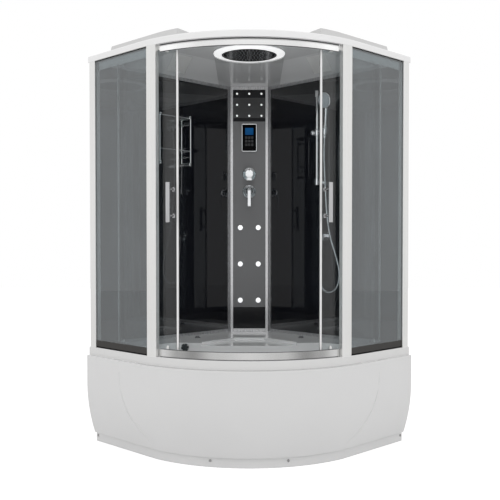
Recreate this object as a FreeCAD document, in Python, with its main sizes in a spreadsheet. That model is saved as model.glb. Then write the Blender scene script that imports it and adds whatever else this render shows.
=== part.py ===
# Steam shower cabin for a corner: a quadrant glass cabin with two curved sliding
# doors and a massage column, standing on a deep tub with a bulged apron.
#
# Frame: millimetres, +Z up, floor at z = 0, +Y towards the wall corner, origin
# under the middle of the cabin's plan. "Right" is +X, as seen by someone who
# stands in front of the doors.
#
# Two coordinate habits are used all through:
#   * along the rim, a point has a station (distance along the rim from the right
#     wall end) and an inset (distance inwards, square to the rim);
#   * on a door, a point has a radius and a turn about the doors' upright axis,
#     where turn 0 looks straight to the front.

import FreeCAD
import Part
import Sketcher
import math
import os
import re
from FreeCAD import Placement, Rotation, Vector

# ---------------------------------------------------------------- driving sizes
# name, value in millimetres, degrees or pieces, meaning
DRIVING_SIZES = (
    # plan and heights
    ("wall_run", 1200, "length of each wall side"),
    ("front_radius", 760, "radius of the curved front"),
    ("cabin_height", 2150, "floor to the top of the dome"),
    ("rim_height", 510, "floor to the tub's deck"),
    ("glazing_top", 2008, "underside of the crown, where posts and rails end"),
    ("ceiling_height", 2022, "underside of the ceiling along the walls"),
    ("seat_gap", 0.3, "clearance between pieces that are not joined"),
    ("running_gap", 0.08, "radial clearance of a turning fit"),
    # tub
    ("rim_depth", 43, "height of the tub's rim band"),
    ("shell_wall", 6, "thickness of the acrylic tub"),
    ("front_deck", 125, "width of the deck along the front"),
    ("wall_deck", 150, "width of the deck along a wall"),
    ("bowl_depth", 398, "deck to the bowl's floor"),
    ("bowl_draft", 55, "how far the bowl closes in towards its floor"),
    ("bowl_corner", 110, "corner radius of the bowl"),
    ("seat_front", 722, "wall corner to the middle of the seat's front"),
    ("seat_half", 400, "half width of the seat's curved front"),
    ("seat_bulge", 32, "rise of the seat front's arc"),
    ("seat_step", 14, "how deep the seat is sunk in the deck"),
    ("seat_back", 456, "wall corner to the back of the sunk seat"),
    ("seat_back_half", 85, "half width of the seat's back edge"),
    ("seat_side_half", 262, "half width of the sunk seat at its front"),
    # apron
    ("apron_bulge", 16, "how far the apron stands out past the rim"),
    ("apron_straight", 340, "height where the apron starts to curve in"),
    ("apron_middle", 150, "height of the curve's middle point"),
    ("apron_middle_inset", 3, "inset of the curve's middle point"),
    ("apron_foot_inset", 32, "inset where the apron's curve ends"),
    ("plinth_height", 49, "height of the apron's foot band"),
    ("plinth_inset", 43, "inset of the foot band"),
    ("apron_wall", 5, "thickness of the apron"),
    ("shield_half", 661, "half width of the raised apron field"),
    ("shield_top", 420, "height where the field's sides start to curve"),
    ("shield_radius", 344, "radius of the field's lower corners"),
    ("shield_foot_half", 467, "half width of the field at the foot band"),
    ("shield_rise", 3, "how far the field stands out"),
    ("screw_head", 6.5, "radius of an apron screw's head"),
    ("screw_proud", 3, "height of an apron screw's head"),
    ("screw_height", 31, "height of the apron screws"),
    ("screw_end_gap", 16, "apron screw to the wall end"),
    ("screw_half", 184, "half distance of the two middle apron screws"),
    # under the tub
    ("frame_tube", 25, "side of the square frame tube"),
    ("frame_gap", 0.3, "frame to the bowl's underside"),
    ("beam_wall_gap", 62, "wall beam to the wall line"),
    ("beam_front", 1230, "wall corner to the front ends of the long beams"),
    ("beam_half", 150, "half distance of the two long beams"),
    ("cross_beam", 1090, "wall corner to the cross beam"),
    ("cross_half", 545, "half length of the cross beam"),
    ("back_foot_along", 190, "wall corner to a back foot, along the wall"),
    ("foot_rod", 6, "radius of a foot's threaded rod"),
    ("foot_pad", 24, "radius of a foot's pad"),
    ("foot_pad_height", 12, "height of a foot's pad"),
    ("drain_front", 1000, "wall corner to the drain"),
    ("drain_flange", 35, "radius of the drain's flange"),
    ("drain_neck", 24, "radius of the drain's neck"),
    ("trap_radius", 42, "radius of the trap's cup"),
    ("trap_low", 26, "floor to the trap's bottom"),
    ("spigot_radius", 20, "outer radius of the waste spigot"),
    ("spigot_bore", 17, "inner radius of the waste pipes"),
    ("spigot_reach", 130, "trap's axis to the spigot's mouth"),
    ("spigot_neck", 75, "trap's axis to the spigot's shoulder"),
    ("spigot_height", 48, "floor to the spigot's axis"),
    ("overflow_across", 351, "middle of the cabin to the overflow"),
    ("overflow_drop", 24, "deck to the overflow's axis"),
    ("overflow_pipe_height", 27.7, "floor to the overflow's pipe"),
    ("overflow_pipe_turn", 260, "drain to the bend of the overflow's pipe"),
    ("overflow_radius", 22, "radius of the overflow's face"),
    ("knob_core", 15, "radius of the star knob's core"),
    ("knob_lobe", 6.5, "radius of a lobe of the star knob"),
    ("knob_thick", 16, "thickness of the star knob"),
    ("knob_lobes", 6, "lobes of the star knob"),
    ("generator_wide", 300, "width of the steam generator"),
    ("generator_deep", 150, "depth of the steam generator"),
    ("generator_tall", 230, "height of the steam generator"),
    ("case_wall", 5, "insulated wall of the steam generator"),
    ("generator_front", 390, "wall corner to the generator's front"),
    ("steam_pipe", 9, "radius of the steam pipe"),
    ("steam_nozzle", 21, "radius of a steam outlet"),
    ("steam_across", 300, "middle of the cabin to a steam outlet"),
    ("steam_front", 466, "wall corner to the steam outlets"),
    # walls and column
    ("glass_wall", 6, "thickness of the wall, side and door glass"),
    ("wall_frame_start", 182, "wall corner to the wall frame"),
    ("wall_frame_end", 36, "wall frame to the wall's end"),
    ("wall_frame_bar", 18, "width of the wall frame's bars"),
    ("wall_frame_back", 2, "wall line to the frame's back"),
    ("wall_frame_deep", 14, "depth of the wall frame"),
    ("frame_bite", 8, "how far a frame holds the edge of its glass"),
    ("column_depth", 154, "wall corner to the column's face"),
    ("column_half", 116, "half width of the column"),
    ("column_bar", 16, "width of the column's side bars"),
    ("column_foot_bar", 20, "width of the column's top and foot bars"),
    ("column_frame_deep", 16, "depth of the column's frame"),
    ("column_panel_wall", 5, "thickness of the column's panel"),
    ("panel_sunk", 4, "column panel behind the frame's face"),
    ("cover_gap", 26, "wall line to the corner cover"),
    ("cover_wall", 2, "thickness of the corner cover"),
    ("inlet_radius", 10.5, "outer radius of a water inlet"),
    ("inlet_bore", 7, "inner radius of a water inlet"),
    ("inlet_reach", 22, "length of a water inlet past the cover"),
    ("inlet_along", 112, "wall corner to a water inlet, along the wall"),
    ("inlet_height", 1180, "floor to the water inlets"),
    ("pipe_radius", 8, "radius of the water pipes"),
    ("pipe_bend", 10, "bend radius of the water pipes"),
    # fittings on the column
    ("neck_jet_pitch_across", 75, "distance between neck jets across"),
    ("neck_jet_pitch_up", 67.6, "distance between neck jets up"),
    ("neck_jet_drop", 112, "ceiling to the middle row of neck jets"),
    ("neck_jet_height", "=ceiling_height - neck_jet_drop", "floor to the middle row of neck jets"),
    ("neck_jet_radius", 6.5, "radius of a neck jet"),
    ("body_jet_half", 55.4, "half distance of the two rows of body jets"),
    ("body_jet_pitch", 224.5, "distance between body jets up"),
    ("body_jet_height", 929.8, "floor to the middle body jets"),
    ("body_jet_radius", 17, "radius of a body jet's flange"),
    ("body_jet_throat", 11, "radius of a body jet behind its flange"),
    ("jet_proud", 5, "how far a body jet's flange stands out"),
    ("control_wide", 94, "width of the control panel"),
    ("control_tall", 172, "height of the control panel"),
    ("control_drop", 315, "ceiling to the control panel's middle"),
    ("control_height", "=ceiling_height - control_drop", "floor to the control panel's middle"),
    ("control_deep", 12, "depth of the control panel"),
    ("control_rim", 6, "width of the control panel's rim"),
    ("screen_wide", 53, "width of the display"),
    ("screen_tall", 44, "height of the display"),
    ("screen_rise", 36.5, "control panel's middle to the display's middle"),
    ("key_size", 9, "side of a touch key"),
    ("key_pitch", 18, "distance between touch keys"),
    ("keys_drop", 21, "control panel's middle to the keys' middle"),
    ("fitting_plate", 41.5, "radius of the diverter's and mixer's plates"),
    ("plate_thick", 8, "thickness of these plates"),
    ("diverter_drop", 223, "control panel to the diverter"),
    ("diverter_height", "=control_height - diverter_drop", "floor to the diverter"),
    ("diverter_radius", 27, "radius of the diverter's knob"),
    ("diverter_long", 30, "length of the diverter's knob"),
    ("mixer_drop", 107, "diverter to the mixer"),
    ("mixer_height", "=diverter_height - mixer_drop", "floor to the mixer"),
    ("mixer_cap", 26, "radius of the mixer's turning cap"),
    ("mixer_body_long", 14, "length of the mixer's body"),
    ("mixer_cap_long", 26, "length of the mixer's cap"),
    ("lever_wide", 17, "width of the mixer's lever"),
    ("lever_thick", 7, "thickness of the mixer's lever"),
    ("lever_long", 92, "pivot to the tip of the mixer's lever"),
    # posts, rails and fixed glass
    ("post_deep", 36, "depth of an outer post"),
    ("outer_post_start", 9, "wall end to the outer post"),
    ("outer_post_wide", 49, "width of an outer post"),
    ("inner_post_start", 494.6, "wall end to the inner post, along the rim"),
    ("inner_post_wide", 63, "width of an inner post"),
    ("inner_post_deep", 22, "depth of an inner post between the rails"),
    ("inner_post_face", 15, "depth of an inner post before the rails"),
    ("side_glass_inset", 7, "inset of the fixed glass"),
    ("rail_height", 37, "height of the bottom rail, and of the top one below the crown"),
    ("top_rail_seen", 26, "height of the top rail in the doorway"),
    ("top_rail_side", 48, "height of the top rail behind the fixed glass"),
    ("side_rail_inset", 17, "inset of the rail strips behind the fixed glass"),
    ("rail_wall", 3, "thickness of the rail strips"),
    # doors
    ("door_shift", 17.25, "doors' axis behind the axis of the curved front"),
    ("door_radius", 731, "inner radius of the door glass"),
    ("door_lead", 27.9, "turn of the glass's leading edge, door as in the photo"),
    ("door_span", 41.6, "angle that the door glass takes"),
    ("door_low", 536, "floor to the door glass"),
    ("door_top", 2001, "floor to the top of the door glass"),
    ("seal_wide", 0.7, "angle that a seal stands out past the glass"),
    ("seal_grip", 0.5, "angle over which a seal holds the glass"),
    ("seal_skin", 1.6, "thickness of a seal's sides"),
    ("hanger_front_turn", 32, "turn of the front hangers"),
    ("hanger_rear_turn", 61, "turn of the rear hangers"),
    ("hanger_wide", 3.4, "angle that a hanger takes"),
    ("hanger_deep", 6.5, "depth of a hanger on the glass"),
    ("hanger_low", 1962, "floor to a top hanger's lower end"),
    ("roller_radius", 9, "radius of a roller"),
    ("roller_wide", 6, "width of a roller"),
    ("roller_axle", 3, "radius of a roller's axle"),
    ("track_height", 1988, "floor to the top rail's track"),
    ("track_thick", 3, "thickness of the top rail's track"),
    ("track_ring", 752.5, "inner radius of the rails' upright strip"),
    ("track_inner", 744.3, "inner radius of the tracks"),
    ("track_turn", 67, "turn where the rails end"),
    ("guide_bead", 8, "height of the bottom rail's guide bead over its base"),
    ("guide_top", 573, "floor to the top of a bottom guide"),
    ("guide_low", 524, "floor to the hook of a bottom guide"),
    ("handle_turn", 29.3, "turn of the door handles"),
    ("handle_height", 1252, "floor to the handles' middle"),
    ("handle_long", 195, "length of a handle's bar"),
    ("handle_wide", 24, "width of a handle's bar"),
    ("handle_thick", 8, "thickness of a handle's bar"),
    ("handle_radius", 782, "inner radius of a handle's bar"),
    ("stud_pitch", 125, "distance between a handle's studs"),
    ("stud_radius", 6, "radius of a handle's stud"),
    # riser rail and hand shower, on the right wall
    ("riser_along", 612, "wall corner to the riser rail"),
    ("riser_off", 60, "wall line to the riser rail"),
    ("riser_radius", 9, "radius of the riser rail"),
    ("riser_low", 1393, "floor to the riser rail"),
    ("riser_top", 1932, "floor to the riser rail's top"),
    ("slider_drop", 238, "top of the riser rail to the slider, as in the photo"),
    ("slider_height", "=riser_top - slider_drop", "floor to the slider"),
    ("slider_radius", 16, "outer radius of the slider"),
    ("slider_tall", 38, "height of the slider"),
    ("holder_along", 680, "wall corner to the hand shower's holder"),
    ("holder_off", 72, "wall line to the hand shower's holder"),
    ("arm_gap", 0.95, "air between the slider's arm and the leaning holder"),
    ("holder_radius", 16, "outer radius of the holder's cup"),
    ("holder_tall", 34, "height of the holder's cup"),
    ("cone_low", 10.5, "radius of the hand shower's cone, below"),
    ("cone_top", 12, "radius of the hand shower's cone, above"),
    ("handset_lean", 4, "lean of the hand shower along the wall"),
    ("handle_reach", 142, "holder to the upper end of the hand shower's grip"),
    ("head_radius", 44, "radius of the hand shower's head"),
    ("head_thick", 15, "thickness of the hand shower's head"),
    ("head_rise", 170, "holder to the middle of the head"),
    ("head_forward", 24, "grip's axis to the face of the head"),
    ("nut_drop", 40, "holder to the end of the hose nut"),
    ("hose_radius", 6, "radius of the shower hose"),
    ("outlet_along", 640, "wall corner to the hose outlet"),
    ("outlet_off", 50, "wall line to the hose outlet's nozzle"),
    ("outlet_height", 1101, "floor to the hose outlet"),
    ("outlet_flange", 27, "radius of the hose outlet's flange"),
    ("outlet_nozzle", 9, "radius of the hose outlet's nozzle"),
    ("outlet_drop", 28, "hose outlet's axis to its mouth"),
    # shelf, on the left wall
    ("shelf_start", 577, "wall corner to the shelf"),
    ("shelf_long", 224, "length of the shelf"),
    ("shelf_near", 20, "wall line to the shelf's back rods"),
    ("shelf_far", 100, "wall line to the shelf's front rods"),
    ("shelf_rod", 4, "radius of the shelf's rods"),
    ("shelf_rod_low", 1500, "floor to the shelf's rods"),
    ("shelf_rod_top", 1784, "floor to the top of the shelf's rods"),
    ("shelf_low", 1555, "floor to the lower shelf"),
    ("shelf_high", 1742, "floor to the upper shelf"),
    ("shelf_rail_rise", 30, "shelf to its guard rail"),
    ("shelf_glass", 6, "thickness of a glass shelf"),
    # roof and ceiling
    ("crown_height", 32, "height of the crown's band"),
    ("crown_wide", 46, "width of the crown's band"),
    ("roof_skin", 6, "thickness of the roof's shell"),
    ("dome_inset", 195, "inset of the dome's foot"),
    ("dome_wall_inset", 60, "distance of the dome's foot from the walls"),
    ("dome_foot", 2086, "height where the dome starts to close in"),
    ("dome_top_inset", 430, "inset of the dome's flat top"),
    ("dome_top_wall_inset", 210, "distance of the dome's flat top from the walls"),
    ("lobe_inset", 92, "inset of a roof lobe's foot"),
    ("lobe_lean", 13, "how far a lobe's front leans in"),
    ("lobe_deep", 300, "depth of a roof lobe"),
    ("lobe_top", 2100, "height of the roof lobes"),
    ("lobe_start", 52, "wall end to a roof lobe"),
    ("lobe_nose", 31, "turn where a roof lobe ends, about the front's axis"),
    ("ceiling_slab", 11.7, "thickness of the ceiling's edge"),
    ("ceiling_inset", 54, "inset of the ceiling's edge"),
    ("vault_inset", 215, "inset where the ceiling starts to rise"),
    ("vault_wall_inset", 20, "distance from the walls where it starts to rise"),
    ("vault_top_inset", 262, "inset of the ceiling's flat middle"),
    ("vault_top_wall_inset", 330, "distance of the flat middle from the walls"),
    ("vault_height", 2064, "height of the ceiling's flat middle"),
    ("vault_skin", 8, "thickness of the ceiling over its flat middle"),
    ("spine_half", 186, "half width of the ceiling's spine"),
    ("spine_front", 838, "wall corner to the rain shower's middle"),
    ("spine_flat", 658, "wall corner to where the spine runs level"),
    ("spine_low", 2050, "height of the spine's underside at the rain shower"),
    ("bezel_outer", 189, "outer radius of the rain shower's bezel"),
    ("bezel_inner", 146.5, "inner radius of the rain shower's bezel"),
    ("bezel_drop", 4, "how far the bezel hangs below the spine"),
    ("bezel_thick", 11.7, "thickness of the bezel"),
    ("rain_radius", 146, "radius of the rain shower"),
    ("rain_drop", 2, "how far the rain shower hangs below the spine"),
    ("rain_thick", 14, "thickness of the rain shower"),
    ("lamp_across", 385, "middle of the cabin to a ceiling lamp's middle"),
    ("lamp_front", 657, "wall corner to a ceiling lamp's middle"),
    ("lamp_long", 272, "length of a ceiling lamp"),
    ("lamp_wide", 128, "width of a ceiling lamp"),
    ("lamp_turn", 14, "turn of a ceiling lamp's long side"),
    ("lamp_thick", 3, "thickness of a ceiling lamp"),
)

X_AXIS = Vector(1, 0, 0)
Y_AXIS = Vector(0, 1, 0)
Z_AXIS = Vector(0, 0, 1)
HALF_ROOT = math.sqrt(0.5)
FACE_FRONT = Rotation(X_AXIS, 90)
WALL_TURN = Rotation(Z_AXIS, -45)

doc = FreeCAD.newDocument("steam_cabin")
sheet = doc.addObject("Spreadsheet::Sheet", "sizes")
for line, (alias, number, meaning) in enumerate(DRIVING_SIZES, 1):
    sheet.set(f"A{line}", meaning)
    sheet.set(f"B{line}", str(number))
    sheet.setAlias(f"B{line}", alias)
doc.recompute()

ALIASES = re.compile(r"\b(" + "|".join(size[0] for size in DRIVING_SIZES) + r")\b")
subparts = {}


def formula(text):
    """A formula in the sheet's words, as the document's expressions want it."""
    return ALIASES.sub(r"sizes.\1", str(text))


def value(text):
    """The number that a formula in the sheet's words stands for."""
    return float(sheet.evalExpression(formula(text)))


# ------------------------------------------------- places that pieces share
CORNER = "(((wall_run - front_radius) * sqrt(2) + front_radius + apron_bulge + shield_rise) / 2)"
DOOR_AXIS = f"({CORNER} - (wall_run - front_radius) * sqrt(2) + door_shift)"
PANEL_FACE = f"({CORNER} - column_depth + panel_sunk)"
BOWL_FLOOR = "(rim_height - bowl_depth)"
FRAME_TOP = f"({BOWL_FLOOR} - shell_wall - frame_gap)"
FITTING_FACE = f"({PANEL_FACE} - seat_gap)"
DOOR_OUTSIDE = "(door_radius + glass_wall)"

corner_y = value(CORNER)
front_axis_y = corner_y - value("(wall_run - front_radius) * sqrt(2)")
door_axis_y = value(DOOR_AXIS)
front_radius = value("front_radius")
side_run = value("wall_run - front_radius")
arc_run = front_radius * math.pi / 2
rim_run = 2 * side_run + arc_run


def from_corner(distance):
    """Formula of the place in Y that lies this far before the wall corner."""
    return f"({CORNER} - ({distance}))"


# ----------------------------------------------------------- document helpers
def keep(obj, name):
    """Name a finished sub-part after its node."""
    obj.Label = name
    subparts[name] = obj
    return obj


def put(obj, x="0", y="0", z="0", turn=None):
    """Bind an object's place to the sheet, after a fixed turn."""
    obj.Placement = Placement(Vector(), turn or Rotation())
    for letter, text in zip("xyz", (x, y, z)):
        obj.setExpression(f"Placement.Base.{letter}", formula(text))
    return obj


def primitive(kind, name, sizes, x="0", y="0", z="0", turn=None):
    obj = doc.addObject(kind, name)
    for prop, text in sizes.items():
        obj.setExpression(prop, formula(text))
    return put(obj, x, y, z, turn)


def box(name, long, wide, tall, x="0", y="0", z="0", turn=None):
    sizes = {"Length": long, "Width": wide, "Height": tall}
    return primitive("Part::Box", name, sizes, x, y, z, turn)


def rod(name, radius, long, x="0", y="0", z="0", along=Z_AXIS, angle="360"):
    sizes = {"Radius": radius, "Height": long, "Angle": angle}
    turn = Rotation(Z_AXIS, along)
    return primitive("Part::Cylinder", name, sizes, x, y, z, turn)


def cone(name, low, top, long, x="0", y="0", z="0", along=Z_AXIS):
    sizes = {"Radius1": low, "Radius2": top, "Height": long}
    return primitive("Part::Cone", name, sizes, x, y, z, Rotation(Z_AXIS, along))


def joined(name, pieces, refine=True):
    obj = doc.addObject("Part::MultiFuse", name)
    obj.Shapes = pieces
    obj.Refine = refine
    return obj


def without(name, base, tools):
    """The base less one tool or several."""
    tool = tools[0] if len(tools) == 1 else joined(name + "_tools", tools)
    obj = doc.addObject("Part::Cut", name)
    obj.Base = base
    obj.Tool = tool
    return obj


def shared(name, base, tool):
    obj = doc.addObject("Part::Common", name)
    obj.Base = base
    obj.Tool = tool
    return obj


def group(name, pieces):
    """Separate solids that share one node."""
    obj = doc.addObject("Part::Compound", name)
    obj.Links = pieces
    return obj


def mirrored(name, source):
    """The left-hand twin of a right-hand piece."""
    obj = doc.addObject("Part::Mirroring", name)
    obj.Source = source
    obj.Normal = X_AXIS
    return obj


def feature(name, shape):
    obj = doc.addObject("Part::Feature", name)
    obj.Shape = shape
    return obj


def on_right_wall(obj, along, off, height):
    """Place an object that is drawn with X along the right wall and -Y into the cabin."""
    x = f"(({along}) - ({off})) * {HALF_ROOT}"
    y = f"{CORNER} - (({along}) + ({off})) * {HALF_ROOT}"
    return put(obj, x, y, height, WALL_TURN)


# ------------------------------------------------------------ sketched bodies


def sketch_on(body, name, lift="0", across="0", up="0"):
    """An empty sketch on the body's own XY plane, lifted and shifted by formulas."""
    sketch = body.newObject("Sketcher::SketchObject", name)
    plane = [face for face in body.Origin.OriginFeatures if face.Role == "XY_Plane"][0]
    sketch.AttachmentSupport = (plane, [""])
    sketch.MapMode = "FlatFace"
    for letter, text in zip("xyz", (across, up, lift)):
        sketch.setExpression(f"AttachmentOffset.Base.{letter}", formula(text))
    return sketch


def draw_circle(sketch, radius):
    sketch.addGeometry(Part.Circle(Vector(), Z_AXIS, value(radius)), False)
    sketch.addConstraint(Sketcher.Constraint("Coincident", 0, 3, -1, 1))
    sketch.addConstraint(Sketcher.Constraint("Radius", 0, value(radius)))
    sketch.setExpression("Constraints[1]", formula(radius))
    return sketch


def draw_rectangle(sketch, wide, tall):
    half_wide = value(wide) / 2
    half_tall = value(tall) / 2
    corners = [Vector(-half_wide, -half_tall), Vector(half_wide, -half_tall)]
    corners += [Vector(half_wide, half_tall), Vector(-half_wide, half_tall)]
    for index in range(4):
        line = Part.LineSegment(corners[index], corners[(index + 1) % 4])
        sketch.addGeometry(line, False)
    for index in range(4):
        sketch.addConstraint(Sketcher.Constraint("Coincident", index, 2, (index + 1) % 4, 1))
    for index, rule in enumerate(("Horizontal", "Vertical", "Horizontal", "Vertical")):
        sketch.addConstraint(Sketcher.Constraint(rule, index))
    sketch.addConstraint(Sketcher.Constraint("Symmetric", 0, 1, 2, 1, -1, 1))
    sketch.addConstraint(Sketcher.Constraint("DistanceX", 0, 1, 0, 2, value(wide)))
    sketch.addConstraint(Sketcher.Constraint("DistanceY", 1, 1, 1, 2, value(tall)))
    sketch.setExpression("Constraints[9]", formula(wide))
    sketch.setExpression("Constraints[10]", formula(tall))
    return sketch


def pad(body, sketch, long):
    obj = body.newObject("PartDesign::Pad", "Pad")
    obj.Profile = sketch
    obj.setExpression("Length", formula(long))
    sketch.Visibility = False
    return obj


def pocket(body, sketch, deep):
    """Cut down from the sketch, towards the body's XY plane."""
    obj = body.newObject("PartDesign::Pocket", "Pocket")
    obj.Profile = sketch
    obj.setExpression("Length", formula(deep))
    return obj


def row_of(body, source, axis, long, count):
    """Repeat a feature along an axis of its own sketch."""
    obj = body.newObject("PartDesign::LinearPattern", "Row")
    obj.Originals = [source]
    obj.Direction = (source.Profile[0], [axis])
    obj.setExpression("Length", formula(long))
    obj.setExpression("Occurrences", formula(count))
    body.Tip = obj
    return obj


def ring_of(body, source, count):
    """Repeat a feature about the body's Z axis."""
    obj = body.newObject("PartDesign::PolarPattern", "Ring")
    obj.Originals = [source]
    axis = [line for line in body.Origin.OriginFeatures if line.Role == "Z_Axis"][0]
    obj.Axis = (axis, [""])
    obj.Angle = 360
    obj.setExpression("Occurrences", formula(count))
    body.Tip = obj
    return obj


# ------------------------------------------------------- shapes along the rim
def rim_point(station, inset, height=0.0):
    """A point by its station along the rim from the right wall end, and its inset."""
    if station > side_run + arc_run:
        twin = rim_point(rim_run - station, inset, height)
        return Vector(-twin.x, twin.y, height)
    if station < side_run:
        end = Vector(1, -1, 0) * (value("wall_run") * HALF_ROOT)
        along = Vector(-1, -1, 0) * (HALF_ROOT * station)
        inwards = Vector(-1, 1, 0) * (HALF_ROOT * inset)
        return end + along + inwards + Vector(0, corner_y, height)
    turn = math.pi / 4 - (station - side_run) / front_radius
    radius = front_radius - inset
    return Vector(radius * math.sin(turn), front_axis_y - radius * math.cos(turn), height)


def rim_stretches(start, end):
    """The straight and curved stretches between two stations."""
    marks = [start]
    marks += [mark for mark in (side_run, side_run + arc_run) if start < mark < end]
    marks.append(end)
    return list(zip(marks, marks[1:]))


def is_curved(low, high):
    return side_run <= (low + high) / 2 <= side_run + arc_run


def rim_edges(inset, start, end, height):
    edges = []
    for low, high in rim_stretches(start, end):
        first = rim_point(low, inset, height)
        last = rim_point(high, inset, height)
        if is_curved(low, high):
            middle = rim_point((low + high) / 2, inset, height)
            edges.append(Part.Arc(first, middle, last).toShape())
        else:
            edges.append(Part.LineSegment(first, last).toShape())
    return edges


def wire_of(edges):
    return Part.Wire(Part.__sortEdges__(edges))


def skinned(low_edges, top_edges):
    """A solid between two outlines whose edges match one to one."""
    faces = [Part.makeRuledSurface(low, top) for low, top in zip(low_edges, top_edges)]
    faces += [Part.Face(wire_of(low_edges)), Part.Face(wire_of(top_edges))]
    shell = Part.makeShell(faces)
    shell.sewShape()
    solid = Part.makeSolid(shell)
    if solid.Volume < 0:
        solid.reverse()
    return solid


def upright(wire, height):
    return Part.Face(wire).extrude(Vector(0, 0, height))


def band(outer, inner, low, high, start, end):
    """A strip of the plan between two insets and two stations, stood upright."""
    edges = rim_edges(outer, start, end, low) + rim_edges(inner, start, end, low)
    for station in (start, end):
        first = rim_point(station, outer, low)
        edges.append(Part.LineSegment(first, rim_point(station, inner, low)).toShape())
    return upright(wire_of(edges), high - low)


def plan_edges(front_inset, wall_inset, height):
    """The cabin's outline, drawn in from the front and from the walls."""
    edges = rim_edges(front_inset, wall_inset, rim_run - wall_inset, height)
    back = Vector(0, corner_y - wall_inset / HALF_ROOT, height)
    right = rim_point(wall_inset, front_inset, height)
    left = rim_point(rim_run - wall_inset, front_inset, height)
    edges.append(Part.LineSegment(left, back).toShape())
    edges.append(Part.LineSegment(back, right).toShape())
    return edges


def plan_slab(front_inset, wall_inset, low, high):
    return upright(wire_of(plan_edges(front_inset, wall_inset, low)), high - low)


def plan_loft(low, top):
    """A solid between two outlines, each a front inset, a wall inset and a height."""
    return skinned(plan_edges(*low), plan_edges(*top))


def section_face(points, station):
    """A closed section square to the rim. Points are (inset, height), and a point
    marked "bend" is the middle of an arc between its neighbours."""
    place = [rim_point(station, point[0], point[1]) for point in points]
    bends = {index for index, point in enumerate(points) if point[2:] == ("bend",)}
    edges = []
    for index in range(len(points)):
        after = (index + 1) % len(points)
        if index in bends:
            continue
        if after in bends:
            end = place[(index + 2) % len(points)]
            edges.append(Part.Arc(place[index], place[after], end).toShape())
        else:
            edges.append(Part.LineSegment(place[index], place[after]).toShape())
    return Part.Face(Part.Wire(edges))


def moulding(points, start, end):
    """A section carried along the rim from one station to another."""
    pieces = []
    for low, high in rim_stretches(start, end):
        face = section_face(points, low)
        if is_curved(low, high):
            angle = -math.degrees((high - low) / front_radius)
            pieces.append(face.revolve(Vector(0, front_axis_y, 0), Z_AXIS, angle))
        else:
            pieces.append(face.extrude(rim_point(high, 0) - rim_point(low, 0)))
    return pieces[0].fuse(pieces[1:]).removeSplitter() if len(pieces) > 1 else pieces[0]


def rounded_runs(points, radius_at):
    """Straight runs joined by tangent arcs, whose radii radius_at gives."""
    edges = []
    here = points[0]
    for before, corner, after in zip(points, points[1:], points[2:]):
        back = (before - corner).normalize()
        ahead = (after - corner).normalize()
        half = back.getAngle(ahead) / 2
        radius = radius_at(before, corner, after, half)
        start = corner + back * (radius / math.tan(half))
        end = corner + ahead * (radius / math.tan(half))
        middle = corner + (back + ahead).normalize() * (radius / math.sin(half) - radius)
        edges.append(Part.LineSegment(here, start).toShape())
        edges.append(Part.Arc(start, middle, end).toShape())
        here = end
    edges.append(Part.LineSegment(here, points[-1]).toShape())
    return edges


# ------------------------------------------------------------------- the tub
def bowl_edges(height, draft, skin):
    """The bowl's outline: the seat's curved front, two slanted backs, two rounded
    corners and the front arc. Skin grows it by the shell's thickness."""
    inset = value("front_deck") + draft - skin
    wall = value("wall_deck") + draft - skin
    seat_y = corner_y - value("seat_front") + skin
    seat_end = Vector(value("seat_half") + skin, seat_y + value("seat_bulge"), height)
    seat_twin = Vector(-seat_end.x, seat_end.y, height)
    seat_middle = Vector(0, seat_y, height)
    edges = [Part.Arc(seat_end, seat_middle, seat_twin).toShape()]
    edges += rim_edges(inset, side_run, side_run + arc_run, height)
    radius = value("bowl_corner") + skin
    for seat, tangent, corner in (
        (seat_end, side_run, wall),
        (seat_twin, side_run + arc_run, rim_run - wall),
    ):
        path = [seat, rim_point(corner, inset, height), rim_point(tangent, inset, height)]
        edges += rounded_runs(path, lambda *place: radius)
    return edges


def bowl_solid(top, floor, skin):
    """The bowl as a solid, which closes in from the deck to the floor."""
    return skinned(bowl_edges(floor, value("bowl_draft"), skin), bowl_edges(top, 0, skin))


def seat_wire(height, grow):
    """The sunk seat in front of the column, open towards the bowl."""
    back_y = corner_y - value("seat_back") + grow
    front_y = corner_y - value("seat_front") - 1
    side = value("seat_side_half") + grow
    side_y = corner_y - value("seat_front") + value("seat_bulge") * 2
    back_half = value("seat_back_half") + grow
    right = [Vector(back_half, back_y, height), Vector(side, side_y, height)]
    right.append(Vector(side, front_y, height))
    left = [Vector(-point.x, point.y, height) for point in reversed(right)]
    return Part.makePolygon(right + left + right[:1])


def make_tub_basin():
    top = value("rim_height")
    skin = value("shell_wall")
    floor = value(BOWL_FLOOR)
    band_low = top - value("rim_depth")
    rim = plan_slab(0, 0, band_low, top).cut(plan_slab(skin, skin, band_low, top - skin))
    bowl = bowl_solid(top, floor - skin, skin)
    seat_low = top - value("seat_step")
    seat = upright(seat_wire(seat_low - skin, skin), value("seat_step"))
    solid = rim.fuse([bowl, seat])
    solid = solid.cut(bowl_solid(top, floor, 0))
    solid = solid.cut(upright(seat_wire(seat_low, 0), value("seat_step")))
    drain = Part.makeCylinder(
        value("drain_neck + seat_gap"), 3 * skin,
        Vector(0, corner_y - value("drain_front"), floor - 2 * skin),
    )
    overflow = overflow_rod("overflow_radius / 2 + seat_gap", -2 * skin, 2 * skin)
    basin = feature("tub_shell", solid.cut([drain, overflow]).removeSplitter())
    return keep(basin, "tub_basin")


def overflow_place():
    """Where the overflow's axis leaves the bowl's back, and the way it points."""
    across = value("overflow_across")
    half = value("seat_half")
    bulge = value("seat_bulge")
    radius = (half * half + bulge * bulge) / (2 * bulge)
    drop = radius - math.sqrt(radius * radius - across * across)
    place = Vector(-across, corner_y - value("seat_front") + drop, 0)
    place.z = value("rim_height - overflow_drop")
    out = Vector(-across / radius, -math.sqrt(1 - (across / radius) ** 2), 0)
    return place, out


def overflow_rod(radius, start, end):
    place, out = overflow_place()
    return Part.makeCylinder(value(radius), end - start, place + out * start, out)


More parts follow.
